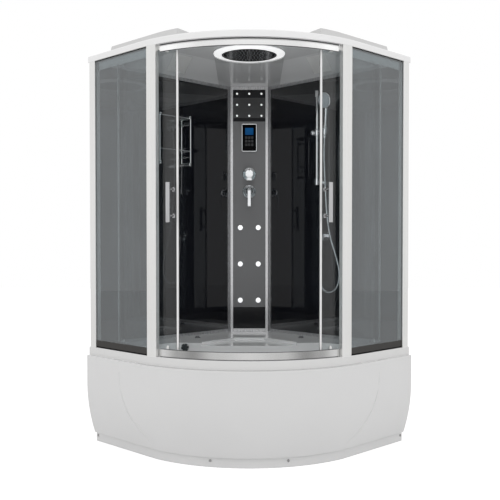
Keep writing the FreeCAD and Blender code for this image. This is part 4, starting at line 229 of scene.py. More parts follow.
def solid_finish(
    name, colour, shade, rough, metal=0.0, tone_scale=2.5, grain_scale=60.0,
    stretch=(1, 1, 1), relief=0.0, relief_size=0.0001, rough_spread=0.06,
    coat=0.0, ior=1.5, round_edge=0.0, specular=0.5, glow=0.0,
    outer=None, above=None, beam=None,
):
    """Opaque finish whose tone, gloss and relief vary over the piece; its outer, above and beam
    zones paint shade and its glow paints light.
    """
    material, tree = new_material(name)
    tone = spread(tree, object_noise(tree, tone_scale, stretch), 0, 1)
    grain = object_noise(tree, grain_scale, stretch, 5.0, 0.6)
    result = mixed(tree, tone, colour, shade)
    for zone, limits in ((tone_outside, outer), (tone_above, above), (tone_in_beam, beam)):
        if limits:
            result = zone(tree, result, *limits)
    values = {
        "Base Color": result,
        "Roughness": spread(tree, grain, max(rough - rough_spread, 0.01), rough + rough_spread),
        "Metallic": metal, "IOR": ior, "Specular IOR Level": specular,
        "Coat Weight": coat, "Coat Roughness": 0.04,
        "Emission Color": (1, 1, 1), "Emission Strength": glow,
    }
    if relief or round_edge:
        values["Normal"] = bumped(tree, grain, relief, relief_size, round_edge)
    show(tree, add(tree, "BsdfPrincipled", values).outputs["BSDF"])
    return material


def pane_finish(name, tint, shade, ior, haze=0.0, haze_colour=None, bands=()):
    """Glass pane: tinted, with a mirror image by angle, a faint haze and flat bands of print and
    painted shadow.
    """
    material, tree = new_material(name)
    tone = spread(tree, object_noise(tree, 1.3, (1, 1, 0.4)), 0, 1)
    smears = object_noise(tree, 9.0, (1, 1, 0.3), 6.0, 0.65)
    gloss = {"Roughness": spread(tree, smears, 0.0, 0.02)}
    mirror = add(tree, "BsdfGlossy", gloss, distribution="GGX").outputs["BSDF"]
    back = add(tree, "NewGeometry").outputs["Backfacing"]
    front = maths(tree, "SUBTRACT", 1.0, back)
    tinted = add(tree, "BsdfTransparent", {"Color": mixed(tree, tone, tint, shade)})
    clear = add(tree, "BsdfTransparent", {"Color": (1, 1, 1)})
    body = layered(tree, back, tinted.outputs["BSDF"], clear.outputs["BSDF"])
    if haze:
        film = add(tree, "BsdfDiffuse", {"Color": haze_colour}).outputs["BSDF"]
        amount = maths(tree, "MULTIPLY", spread(tree, smears, haze * 0.8, haze * 1.2), front)
        body = layered(tree, amount, body, film)
    fresnel = add(tree, "Fresnel", {"IOR": ior}).outputs["Fac"]
    surface = layered(tree, maths(tree, "MULTIPLY", fresnel, front), body, mirror)
    z = place_of(tree)[3]
    for low, high, colour in bands:
        print_and_shadow_coat = add(tree, "BsdfDiffuse", {"Color": colour}).outputs["BSDF"]
        surface = layered(tree, between(tree, z, low, high), surface, print_and_shadow_coat)
    show(tree, surface)
    return material


def rail_finish(name, stops, rough):
    """Brushed metal with a painted sheen: its colour lightens and darkens along the rail as
    painted reflection, by stops of (distance from its middle, tone).
    """
    material, tree = new_material(name)
    ramp = add(tree, "ValToRGB", {"Fac": maths(tree, "ABSOLUTE", place_of(tree)[1])})
    ramp.color_ramp.interpolation = "EASE"
    elements = ramp.color_ramp.elements
    while len(elements) < len(stops):
        elements.new(0.5)
    for element, (spot, tone) in zip(elements, stops):
        element.position = spot
        element.color = (tone, tone, tone * 0.995, 1)
    grain = object_noise(tree, 80, (0.6, 0.6, 22), 5.0, 0.6)
    show(tree, add(tree, "BsdfPrincipled", {
        "Base Color": ramp.outputs["Color"], "Metallic": 1.0,
        "Roughness": spread(tree, grain, rough - 0.05, rough + 0.05),
        "Normal": bumped(tree, grain, 0.03, 0.0001, 0.0012),
    }).outputs["BSDF"])
    return material


def zoned_finish(name, colour, rough, ior, zones):
    """Glossy sheet with zones of other colours, each between two heights in metres."""
    material, tree = new_material(name)
    tone = spread(tree, object_noise(tree, 1.2), 0, 1)
    result = mixed(tree, tone, colour, tuple(0.95 * channel for channel in colour))
    z = place_of(tree)[3]
    for low, high, zone in zones:
        result = mixed(tree, between(tree, z, low, high), result, zone)
    grain = object_noise(tree, 20, (1, 1, 1), 4.0)
    show(tree, add(tree, "BsdfPrincipled", {
        "Base Color": result, "IOR": ior,
        "Roughness": spread(tree, grain, rough - 0.03, rough + 0.03),
    }).outputs["BSDF"])
    return material


def glow_finish(name, low, high, strength, pitch):
    """Lit display: a colour that fades over the screen, with a fine dot grid."""
    material, tree = new_material(name)
    place, _, _, z = place_of(tree)
    fade = add(tree, "MapRange", {"Value": z, "From Min": 1.721, "From Max": 1.766})
    grid = add(tree, "TexVoronoi", {"Vector": place, "Scale": pitch, "Randomness": 0})
    show(tree, add(tree, "BsdfPrincipled", {
        "Base Color": (0.002, 0.008, 0.02),
        "Emission Color": mixed(tree, fade.outputs["Result"], low, high),
        "Emission Strength": spread(
            tree, grid.outputs["Distance"], strength, strength * 0.7, 0.2, 0.6
        ),
        "Roughness": 0.12, "Specular IOR Level": 0.04,
    }).outputs["BSDF"])
    return material


ACRYLIC = solid_finish(
    "acrylic_white_gloss_painted_rim_shade", (0.86, 0.86, 0.86), (0.88, 0.88, 0.885), 0.10,
    grain_scale=9, rough_spread=0.02, round_edge=0.0015,
    # painted shade: the rim band outside 0.70 m from the front's axis and below 0.5085 m is
    # painted a darker white than the rest of the same acrylic
    outer=((0.70, 0.70, 0.698), 0.70, 0.5085),
)
APRON_WHITE = solid_finish(
    "acrylic_apron_gloss", (0.685, 0.685, 0.687), (0.705, 0.705, 0.707), 0.10,
    grain_scale=8, rough_spread=0.02, round_edge=0.0015,
)
ROOF_WHITE = solid_finish(
    "acrylic_roof_gloss_painted_top_shade", (0.80, 0.80, 0.80), (0.82, 0.82, 0.825), 0.14,
    grain_scale=8, rough_spread=0.03, round_edge=0.002,
    # painted shade: the roof above 2.0415 m is painted a darker grey
    above=((0.60, 0.60, 0.60), 2.0415),
)
CEILING_WHITE = solid_finish(
    "acrylic_ceiling_gloss_painted_spine_shade", (0.80, 0.80, 0.805), (0.82, 0.82, 0.825), 0.15,
    grain_scale=9, rough_spread=0.03, round_edge=0.003,
    # painted shade: the spine band from the column to the rain shower is painted a darker grey
    beam=((0.60, 0.60, 0.605), 0.1855, -0.16),
)
ALUMINIUM = solid_finish(
    "aluminium_anodised", (0.765, 0.765, 0.755), (0.735, 0.735, 0.725), 0.30, metal=0.85,
    tone_scale=6, grain_scale=90, stretch=(14, 14, 0.4), relief=0.02,
    rough_spread=0.04, round_edge=0.0014,
)
# painted reflection: the tone stops paint the top rail's sheen, lighter and darker along it
RAIL_PAINTED_SHEEN = rail_finish(
    "aluminium_painted_sheen",
    ((0.0, 0.82), (0.22, 0.78), (0.31, 0.88), (0.38, 0.98), (0.45, 0.95), (1.0, 0.80)), 0.22,
)
# painted reflection: the darker stops paint the bottom rail's dim sheen along it
RAIL_LOW_PAINTED_SHEEN = rail_finish(
    "aluminium_low_painted_sheen",
    ((0.0, 0.64), (0.16, 0.53), (0.27, 0.28), (0.34, 0.36), (0.42, 0.62), (1.0, 0.50)), 0.24,
)
FRAME_SATIN = solid_finish(
    "aluminium_satin_inside", (0.66, 0.66, 0.67), (0.62, 0.62, 0.63), 0.28, metal=0.9,
    tone_scale=6, grain_scale=90, stretch=(14, 14, 0.4), relief=0.02,
    rough_spread=0.04, round_edge=0.0014,
)
CHROME = solid_finish(
    "chrome_polished", (0.86, 0.87, 0.88), (0.80, 0.81, 0.83), 0.05, metal=1.0,
    grain_scale=120, rough_spread=0.02, round_edge=0.0006,
)
CHROME_SATIN = solid_finish(
    "chrome_satin", (0.52, 0.52, 0.53), (0.46, 0.46, 0.47), 0.20, metal=1.0,
    tone_scale=8, grain_scale=140, stretch=(8, 8, 0.6), relief=0.02,
    rough_spread=0.04, round_edge=0.001,
)
WALL_BLACK = solid_finish(
    "glass_back_painted", (0.004, 0.0045, 0.0065), (0.006, 0.0065, 0.009), 0.02,
    tone_scale=0.8, grain_scale=6, rough_spread=0.01, ior=2.05,
)
GALVANISED = solid_finish(
    "steel_galvanised", (0.42, 0.43, 0.44), (0.52, 0.53, 0.54), 0.38, metal=1.0,
    tone_scale=30, grain_scale=45, relief=0.1, relief_size=0.0003, rough_spread=0.12,
)
ZINC = solid_finish(
    "zinc_plated", (0.60, 0.60, 0.56), (0.50, 0.51, 0.50), 0.34, metal=1.0,
    tone_scale=40, grain_scale=90, relief=0.08, relief_size=0.0002, rough_spread=0.1,
)
SCREW = solid_finish(
    "screw_polished", (0.36, 0.36, 0.36), (0.28, 0.28, 0.28), 0.14, metal=1.0,
    tone_scale=90, grain_scale=200, relief=0.02,
)
BLACK_PLASTIC = solid_finish(
    "plastic_black", (0.032, 0.040, 0.044), (0.042, 0.050, 0.054), 0.28,
    tone_scale=20, grain_scale=400, relief=0.08, rough_spread=0.08, round_edge=0.001,
)
WHITE_PLASTIC = solid_finish(
    "plastic_white", (0.86, 0.86, 0.85), (0.80, 0.80, 0.79), 0.24,
    tone_scale=20, grain_scale=300, relief=0.03,
)
# painted light: glow makes the white nozzles shine though they hold no lamp
JET_PAINTED_GLOW = solid_finish(
    "nozzle_white_painted_glow", (0.95, 0.95, 0.95), (0.92, 0.92, 0.92), 0.16,
    tone_scale=20, grain_scale=200, rough_spread=0.03, coat=0.6, glow=0.7,
)
OUTLET_GREY = solid_finish(
    "plastic_outlet_grey", (0.14, 0.14, 0.145), (0.18, 0.18, 0.185), 0.3,
    tone_scale=20, grain_scale=300, relief=0.04,
)
WASTE_GREY = solid_finish(
    "plastic_waste_grey", (0.55, 0.55, 0.54), (0.47, 0.47, 0.47), 0.4,
    tone_scale=14, grain_scale=300, relief=0.1, relief_size=0.0002, rough_spread=0.1,
)
CASE_GREY = solid_finish(
    "steel_case_painted", (0.60, 0.61, 0.61), (0.55, 0.56, 0.56), 0.36,
    tone_scale=5, grain_scale=220, relief=0.12, relief_size=0.0002, rough_spread=0.08,
    round_edge=0.0015,
)
COVER_SHEET = solid_finish(
    "sheet_cover_white", (0.72, 0.72, 0.71), (0.66, 0.66, 0.66), 0.42,
    tone_scale=3, grain_scale=150, relief=0.08, relief_size=0.0002, rough_spread=0.08,
)
BRASS = solid_finish(
    "brass_pipe", (0.62, 0.45, 0.20), (0.50, 0.36, 0.16), 0.28, metal=1.0,
    tone_scale=25, grain_scale=90, relief=0.06, relief_size=0.0002, rough_spread=0.1,
)
CONTROL_BLACK = solid_finish(
    "control_face_gloss", (0.0015, 0.0015, 0.002), (0.003, 0.003, 0.0035), 0.06,
    tone_scale=12, grain_scale=60, rough_spread=0.02, specular=0.03,
)
KEY_GREY = solid_finish(
    "control_key_rubber", (0.045, 0.045, 0.048), (0.06, 0.06, 0.064), 0.4,
    tone_scale=60, grain_scale=500, relief=0.05, specular=0.1,
)
SEAL = solid_finish(
    "seal_vinyl", (0.84, 0.84, 0.84), (0.78, 0.78, 0.78), 0.26,
    tone_scale=8, grain_scale=120, stretch=(1, 1, 0.2), relief=0.02,
)
# dark finish of the seal lips, also used for marks of painted shade: the rail shadow strips and
# the steam caps' slots
GASKET_AND_PAINTED_SHADE = solid_finish(
    "seal_lip_and_painted_shade_dark", (0.035, 0.037, 0.04), (0.05, 0.052, 0.055), 0.42,
    tone_scale=8, grain_scale=200, stretch=(1, 1, 0.3), relief=0.04,
)
RAIN_BLACK = solid_finish(
    "rain_head_black", (0.010, 0.010, 0.011), (0.018, 0.018, 0.02), 0.14,
    tone_scale=10, grain_scale=80, rough_spread=0.05,
)
NOZZLE_GREY = solid_finish(
    "nozzle_silicone", (0.16, 0.17, 0.18), (0.22, 0.23, 0.24), 0.45,
    tone_scale=90, grain_scale=400, relief=0.05,
)
HEAD_GREY = solid_finish(
    "spray_plate_grey", (0.26, 0.29, 0.31), (0.30, 0.33, 0.35), 0.3,
    tone_scale=30, grain_scale=200, relief=0.03,
)
# painted light: glow makes the white ring round the rain shower shine though it holds no lamp
RING_PAINTED_GLOW = solid_finish(
    "rain_ring_painted_glow", (0.86, 0.86, 0.86), (0.80, 0.80, 0.80), 0.3,
    tone_scale=10, grain_scale=200, glow=0.62,
)
LAMP = solid_finish(
    "lamp_diffuser_opal", (0.82, 0.82, 0.81), (0.78, 0.78, 0.77), 0.35,
    tone_scale=10, grain_scale=260, relief=0.02, relief_size=0.0002,
)
COLUMN_GREY = zoned_finish(
    "column_sheet_gloss", (0.175, 0.175, 0.179), 0.14, 1.37,
    ((1.8076, 1.8290, (0.012, 0.012, 0.014)), (1.8290, 1.9530, (0.07, 0.07, 0.072)),
     (1.9530, 2.1000, (0.012, 0.012, 0.014)), (0.4000, 0.6629, (0.006, 0.006, 0.008))),
)
DISPLAY = glow_finish("display_blue_lit", (0.003, 0.047, 0.15), (0.006, 0.075, 0.22), 1.0, 900)
DOOR_GLASS = pane_finish("glass_door_clear", (0.80, 0.84, 0.85), (0.77, 0.81, 0.82), 1.64)
SIDE_GLASS = pane_finish(
    "glass_side_smoked", (0.40, 0.44, 0.455), (0.37, 0.41, 0.42), 1.95,
    haze=0.11, haze_colour=(0.46, 0.53, 0.57),
    # the band above 2.0035 m is a dark print that also paints the shadow line under the roof's
    # fascia
    bands=((0.40, 0.5165, (0.008, 0.008, 0.008)), (0.5165, 0.5485, (0.070, 0.068, 0.066)),
           (2.0035, 2.10, (0.012, 0.012, 0.012))),
)
SHELF_GLASS = pane_finish("glass_shelf_clear", (0.80, 0.88, 0.85), (0.74, 0.84, 0.80), 1.6)
HOSE_METAL = solid_finish(
    "steel_hose_strip", (0.72, 0.75, 0.77), (0.60, 0.63, 0.66), 0.22, metal=1.0,
    tone_scale=30, grain_scale=300, relief=0.06, rough_spread=0.08,
)

DRESSING = (
    (ACRYLIC, "tub_basin"), (APRON_WHITE, "front_apron"), (ROOF_WHITE, "roof_shell"),
    (CEILING_WHITE, "ceiling_panel", "rain_bezel"), (LAMP, "ceiling_lamps"),
    (GALVANISED, "tub_frame"), (ZINC, "levelling_feet"), (SCREW, "apron_screws"),
    (WASTE_GREY, "waste_set"), (CASE_GREY, "steam_generator"),
    (BLACK_PLASTIC, "steam_outlets", "waste_knob"),
    (WALL_BLACK, "wall_panel_left", "wall_panel_right"),
    (FRAME_SATIN, "wall_frame_left", "wall_frame_right", "column_frame"),
    (COLUMN_GREY, "column_panel"), (COVER_SHEET, "column_cover"), (BRASS, "water_pipes"),
    (WHITE_PLASTIC, "neck_jets", "body_jets", "door_hangers_left", "door_hangers_right",
     "roller_left_front", "roller_left_rear", "roller_right_front", "roller_right_rear"),
    (CHROME_SATIN, "control_bezel", "door_handle_left", "door_handle_right"),
    (CONTROL_BLACK, "control_face"), (DISPLAY, "control_screen"), (RAIN_BLACK, "rain_shower"),
    (CHROME, "diverter_plate", "diverter_knob", "mixer_body", "mixer_cap_turn", "mixer_lever",
     "riser_rail", "rail_slider", "handset_holder", "hand_shower", "shower_hose", "hose_outlet",
     "shelf_frame"),
    (SHELF_GLASS, "glass_shelves"), (RAIL_PAINTED_SHEEN, "top_rail"), (RAIL_LOW_PAINTED_SHEEN, "bottom_rail"),
    (ALUMINIUM, "outer_post_left", "outer_post_right", "inner_post_left", "inner_post_right"),
    (SIDE_GLASS, "fixed_glass_left", "fixed_glass_right"),
    (DOOR_GLASS, "door_glass_left", "door_glass_right"),
    (SEAL, "door_seals_left", "door_seals_right"),
)


def dress_nodes():
    for material, *names in DRESSING:
        for name in names:
            mesh = nodes[name].data
            mesh.materials.clear()
            mesh.materials.append(material)


dress_nodes()


# -------------------------------------------------------------- mesh tools
def make_piece(name, points, faces, material, body, replaces=(), smooth=35):
    """A mesh in the row frame that rides on a body; its sharp edges stay sharp."""
    mesh = bpy.data.meshes.new(name)
    mesh.from_pydata([tuple(point) for point in points], [], faces)
    outward = bmesh.new()
    outward.from_mesh(mesh)
    bmesh.ops.recalc_face_normals(outward, faces=outward.faces)
    outward.to_mesh(mesh)
    outward.free()
    mesh.materials.append(material)
    mesh.polygons.foreach_set("use_smooth", [True] * len(mesh.polygons))
    mesh.set_sharp_from_angle(angle=math.radians(smooth))
    mesh.update()
    piece = bpy.data.objects.new(name, mesh)
    bpy.context.scene.collection.objects.link(piece)
    if body:
        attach(piece, body)
    if replaces:
        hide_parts(*replaces)
    return piece


def side_ways(axis):
    """Two unit directions across an axis."""
    guide = UP if abs(axis.z) < 0.9 else RIGHT
    first = axis.cross(guide).normalized()
    return first, axis.cross(first).normalized()


def turns_of(count, start=0.0):
    """Evenly spaced angles of a full turn."""
    return [2 * math.pi * (step + start) / count for step in range(count)]


def circle(centre, across, up, radius, sides):
    """Points round a centre, at a radius in millimetres."""
    return [
        centre + (across * math.cos(turn) + up * math.sin(turn)) * radius * MM
        for turn in turns_of(sides)
    ]


def carried_along(path):
    """Each point of a path with two directions across it that don't twist."""
    across = None
    for index, point in enumerate(path):
        before = path[max(index - 1, 0)]
        after = path[min(index + 1, len(path) - 1)]
        axis = (after - before).normalized()
        if across is None:
            across, up = side_ways(axis)
        else:
            across = (across - axis * across.dot(axis)).normalized()
            up = axis.cross(across).normalized()
        yield point, across, up


def rounded_loops(centre, axes, wide, tall, corner, layers, steps, least):
    """Loops of a rounded plate, each by its distance out and its inset."""
    right, up, out = axes
    loops = []
    for along, inset in layers:
        bend = max(corner - inset, least)
        half_wide, half_tall = wide / 2 - inset - bend, tall / 2 - inset - bend
        loop = []
        for quarter, (sx, sz) in enumerate(((1, 1), (-1, 1), (-1, -1), (1, -1))):
            for step in range(steps + 1):
                turn = math.radians(90 * (quarter + step / steps))
                x = sx * half_wide + bend * math.cos(turn)
                z = sz * half_tall + bend * math.sin(turn)
                loop.append(centre + (right * x + up * z + out * along) * MM)
        loops.append(loop)
    return loops


class Shape:
    """Points and faces gathered from several turned, swept and plate forms."""

    def __init__(self):
        self.points = []
        self.faces = []

    def rings(self, rings, closed_ends=(True, True)):
        """Skin over rings of the same number of points."""
        base = len(self.points)
        count = len(rings[0])
        for ring in rings:
            self.points.extend(ring)
        for row in range(len(rings) - 1):
            low = base + row * count
            for step in range(count):
                after = (step + 1) % count
                self.faces.append(
                    (low + step, low + after, low + count + after, low + count + step)
                )
        if closed_ends[0]:
            self.faces.append(tuple(base + step for step in reversed(range(count))))
        if closed_ends[1]:
            last = base + (len(rings) - 1) * count
            self.faces.append(tuple(last + step for step in range(count)))
        return self

    def turned(self, origin, axis, profile, sides=40, ends=(True, True)):
        """Revolve a profile of (radius, along), in millimetres, about an axis."""
        across, up = side_ways(axis)
        return self.rings([
            circle(origin + axis * along * MM, across, up, radius, sides)
            for radius, along in profile
        ], ends)

    def swept(self, path, radii, sides=12):
        """A round bar along points, in metres, with a radius in millimetres at each."""
        return self.rings([
            circle(point, across, up, radius, sides)
            for (point, across, up), radius in zip(carried_along(path), radii)
        ])

    def slab(self, centre, axes, wide, tall, deep, corner, edge=0.6):
        """A rounded plate in millimetres, its back at centre; axes are right, up and out."""
        layers = ((0.0, 0.0), (deep - edge, 0.0), (deep - edge * 0.3, edge * 0.3), (deep, edge))
        return self.rings(rounded_loops(centre, axes, wide, tall, corner, layers, 5, 0.05))

    def framed(self, centre, wide, tall, corner, layers):
        """A rounded frame that faces the front: (distance out, inset) of each loop."""
        loops = rounded_loops(centre, (RIGHT, UP, FRONT), wide, tall, corner, layers, 6, 1.0)
        return self.rings(loops + loops[:1], (False, False))

    def curved(self, profile, half_turn):
        """Sweep a closed profile of (radius, height) about the doors' axis, by degrees."""
        count = math.ceil(2 * half_turn / 1.5)
        hub = Vector((0, DOOR_AXIS_Y, 0))
        rings = []
        for index in range(count + 1):
            turn = math.radians(2 * half_turn * index / count - half_turn)
            way = Vector((math.sin(turn), -math.cos(turn), 0))
            rings.append([(hub + way * radius + UP * height) * MM for radius, height in profile])
        return self.rings(rings)

    def fluted(self, origin, axis, profile, flutes, sides=96):
        """A turned form with flutes: profile of (radius, along, depth of the flutes)."""
        across, up = side_ways(axis)
        rings = []
        for radius, along, depth in profile:
            centre = origin + axis * along * MM
            ring = []
            for turn in turns_of(sides):
                size = radius - depth * (0.5 + 0.5 * math.cos(flutes * turn)) ** 3
                ring.append(centre + (across * math.cos(turn) + up * math.sin(turn)) * size * MM)
            rings.append(ring)
        return self.rings(rings)

    def piece(self, name, material, body, slot, replaces=(), smooth=35):
        return make_piece(name, self.points, self.faces, material, body, replaces, smooth)


# -------------------------------------------------------------- shower hose
HOSE_RADIUS = 6.0
HOSE_TURN = 4.8  # pitch of the wound strip, drawn by four rings
HOSE_WAVE = 0.28
HOLDER_SPOT = wall_point(680, 72, SLIDER_HEIGHT)
LEAN = Matrix.Rotation(math.radians(4), 3, -INTO[1])
HOLDER_UP = LEAN @ UP
NUT_DROP = 40.3
FIRST_RUN = 62
HOSE_ROUTE = (
    (676, 71, 1480), (687, 74, 1340), (703, 79, 1200), (728, 81, 1085),
    (768, 81, 990), (795, 80, 900), (787, 79, 828), (748, 78, 785),
    (695, 76, 778), (650, 73, 812), (641, 66, 892), (642, 57, 985),
)
OUTLET_MOUTH = wall_point(640, 50, 1072.7)


def hose_line():
    """The hose's centre line, from the outlet's mouth up to the hand shower's nut."""
    nut = HOLDER_SPOT - HOLDER_UP * NUT_DROP * MM
    route = [nut, nut - HOLDER_UP * FIRST_RUN * MM]
    route += [wall_point(*point) for point in HOSE_ROUTE] + [OUTLET_MOUTH]
    route.reverse()
    data = bpy.data.curves.new("hose_route", "CURVE")
    data.dimensions = "3D"
    data.resolution_u = 40
    spline = data.splines.new("NURBS")
    spline.points.add(len(route) - 1)
    for control, point in zip(spline.points, route):
        control.co = (*point, 1)
    spline.order_u = 3
    spline.use_endpoint_u = True
    holder = bpy.data.objects.new("hose_route", data)
    bpy.context.scene.collection.objects.link(holder)
    bpy.context.view_layer.update()
    line = bpy.data.meshes.new_from_object(holder)
    points = [vertex.co.copy() for vertex in line.vertices]
    bpy.data.objects.remove(holder)
    bpy.data.meshes.remove(line)
    return points


def even_points(points, gap):
    """The same line with its points a set distance apart."""
    spots = np.array([tuple(point) for point in points])
    runs = np.linalg.norm(np.diff(spots, axis=0), axis=1)
    along = np.concatenate([[0], np.cumsum(runs)])
    count = max(int(round(along[-1] / gap)), 2)
    wanted = np.linspace(0, along[-1], count + 1)
    return [Vector([np.interp(w, along, spots[:, axis]) for axis in range(3)]) for w in wanted]


def make_hose():
    """A round-wound steel strip hose that bends between the outlet and the slider."""
    line = hose_line()
    rings = []
    points = even_points(line, HOSE_TURN / 4 * MM)
    for index, (point, across, up) in enumerate(carried_along(points)):
        ring = []
        for turn in turns_of(14):
            wave = math.cos(2 * math.pi * index / 4 - turn)
            radius = HOSE_RADIUS - HOSE_WAVE + HOSE_WAVE * wave
            ring.append(point + (across * math.cos(turn) + up * math.sin(turn)) * radius * MM)
        rings.append(ring)
    hose = Shape().rings(rings).piece(
        "shower_hose_wound", HOSE_METAL, None, "hose_metal", ("shower_hose",), 60
    )
    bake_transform(hose)


make_hose()


# --------------------------------------------------------- column fittings
GLASS_DEEP = 9.6
FACING = (RIGHT, UP, FRONT)
BODY_JETS_ACROSS, BODY_JETS_UP = (-55.4, 55.4), (705.3, 929.8, 1154.3)
NECK_JETS_ACROSS, NECK_JETS_UP = (-75, 0, 75), (1842.4, 1910, 1977.6)
KEY_PITCH_ACROSS, KEY_PITCH_UP = 18, 22


def make_jets():
    """Body jets with a nozzle in a polished rim, and the small neck jets; the nozzles' white has a
    painted glow.
    """
    rims, caps, dots, rings = Shape(), Shape(), Shape(), Shape()
    for across in BODY_JETS_ACROSS:
        for height in BODY_JETS_UP:
            spot = column_point(across, height)
            rims.turned(spot, FRONT, (
                (17, 0), (17, 2.0), (16.4, 3.2), (15.2, 3.6), (14.4, 2.6), (14.4, 0.4),
            ), 40)
            caps.turned(spot, FRONT, (
                (13.7, 0.3), (13.7, 4.4), (12.9, 5.5), (10.4, 6.0), (5.4, 6.0), (4.5, 4.6),
                (2.0, 4.6), (1.6, 5.4), (0.2, 5.5),
            ), 40)
    for across in NECK_JETS_ACROSS:
        for height in NECK_JETS_UP:
            spot = column_point(across, height)
            dots.turned(spot, FRONT, (
                (5.9, 0), (5.9, 1.6), (5.0, 2.7), (2.4, 3.0), (1.2, 2.4), (0.2, 2.4),
            ), 24)
            # a thin dark ring round each neck jet
            rings.turned(spot, FRONT, ((8.2, 0), (8.2, 0.6), (7.8, 0.9), (6.0, 0.9)), 24)
    rims.piece("body_jet_rims", CHROME, "cabin", "chrome")
    caps.piece("body_jet_nozzles", JET_PAINTED_GLOW, "cabin", "jet_white", ("body_jets",))
    dots.piece("neck_jet_nozzles", JET_PAINTED_GLOW, "cabin", "jet_white", ("neck_jets",))
    rings.piece("neck_jet_dark_rings", GASKET_AND_PAINTED_SHADE, "cabin", "black_plastic")


def make_control():
    """Touch panel: polished frame, black face, lit display and nine keys."""
    middle = column_point(0, CONTROL_HEIGHT)
    Shape().framed(middle, 94, 172, 9, (
        (0, 0), (10.2, 0), (11.6, 0.7), (12, 2.0), (11.6, 4.6), (10.4, 6.0), (2.0, 6.2),
    )).piece("control_frame", CHROME, "cabin", "chrome", ("control_bezel",))
    Shape().slab(middle, FACING, 82.4, 160.4, GLASS_DEEP, 4.0, 0.4).piece(
        "control_glass", CONTROL_BLACK, "cabin", "control_glass", ("control_face",)
    )
    lit = column_point(0, CONTROL_HEIGHT + 38.1, GLASS_DEEP)
    Shape().slab(lit, FACING, 50, 42.6, 0.5, 1.2, 0.2).piece(
        "control_display", DISPLAY, "cabin", "display_blue", ("control_screen",)
    )
    keys = Shape()
    for column in (-1, 0, 1):
        for row in (-1, 0, 1):
            height = CONTROL_HEIGHT - 21.5 + KEY_PITCH_UP * row
            spot = column_point(KEY_PITCH_ACROSS * column, height, GLASS_DEEP)
            keys.slab(spot, FACING, 14.6, 15.6, 0.9, 2.4, 0.35)
            keys.turned(spot + FRONT * 0.9 * MM, FRONT, (
                (3.1, -0.2), (3.1, 0.18), (2.6, 0.26), (2.2, 0.1), (0.1, 0.1),
            ), 14)
    keys.piece("control_keys", KEY_GREY, "cabin", "control_glass")


def make_diverter():
    """Diverter: sloping plate, and a fluted knob with a flat polished face."""
    spot = column_point(0, DIVERTER_HEIGHT)
    Shape().turned(spot, FRONT, (
        (41.5, 0), (41.5, 0.8), (41.0, 1.6), (38, 2.9), (33, 4.6), (28, 6.3), (24, 7.8), (19, 8.1),
    ), 64).piece("diverter_shield", CHROME, "cabin", "chrome", ("diverter_plate",))
    knob = Shape().fluted(spot + FRONT * 8.4 * MM, FRONT, (
        (19, 0, 0), (22, 0.6, 0.3), (25.6, 6, 1.5), (26.6, 14, 1.8), (27, 24, 1.6),
        (26.6, 27.6, 1.0), (25.2, 29.4, 0.4), (23.6, 29.9, 0), (2, 29.9, 0),
    ), 8)
    mark = spot + (FRONT * 38.2 + UP * 17.5) * MM
    knob.slab(mark, FACING, 2.4, 9, 0.35, 1.0, 0.15)
    knob.piece("diverter_handle", CHROME, "diverter_knob", "chrome", ("diverter_knob",), 24)


def make_mixer():
    """Single-lever mixer: sloping plate, body, round cap and flat lever."""
    spot = column_point(0, MIXER_HEIGHT)
    Shape().turned(spot, FRONT, (
        (41.5, 0), (41.5, 0.8), (41.0, 1.6), (38, 2.9), (33.5, 4.6), (31.5, 5.8), (30.8, 8),
        (30.4, 17), (29.2, 20.4), (26.6, 22), (20, 22),
    ), 64).piece("mixer_shield", CHROME, "cabin", "chrome", ("mixer_body",))
    Shape().turned(spot + FRONT * 22.4 * MM, FRONT, (
        (20, 0), (25.2, 0.2), (26, 1.2), (26, 5), (25.2, 10.4), (23.2, 15.2), (19.6, 19.4),
        (14.6, 22.8), (8.6, 25.0), (3, 25.7), (0.3, 25.8),
    ), 56).piece("mixer_dome", CHROME, "mixer_cap", "chrome", ("mixer_cap_turn",))
    lever = Shape()
    rings = []
    for drop, wide, thick, proud in (
        (-9, 13, 4.0, 47.4), (-7, 19, 6.4, 47.6), (-2, 21.4, 7.6, 48.0), (12, 21.8, 7.6, 48.4),
        (34, 21.6, 7.0, 48.4), (62, 21.6, 6.4, 48.4), (84, 22, 6.2, 48.4), (91, 21.8, 5.8, 48.4),
        (94.0, 20.6, 4.4, 48.4), (94.8, 17, 2.6, 48.4),
    ):
        ring = []
        for turn in turns_of(28, 0.5):
            # low powers of sine and cosine give flat faces with round sides
            across = math.copysign(abs(math.cos(turn)) ** 0.34, math.cos(turn)) * wide / 2
            out = math.copysign(abs(math.sin(turn)) ** 0.42, math.sin(turn)) * thick / 2
            ring.append(column_point(across, MIXER_HEIGHT - drop, proud - 0.6 + out))
        rings.append(ring)
    lever.rings(rings)
    lever.piece("mixer_handle", CHROME, "mixer_lever", "chrome", ("mixer_lever",), 50)


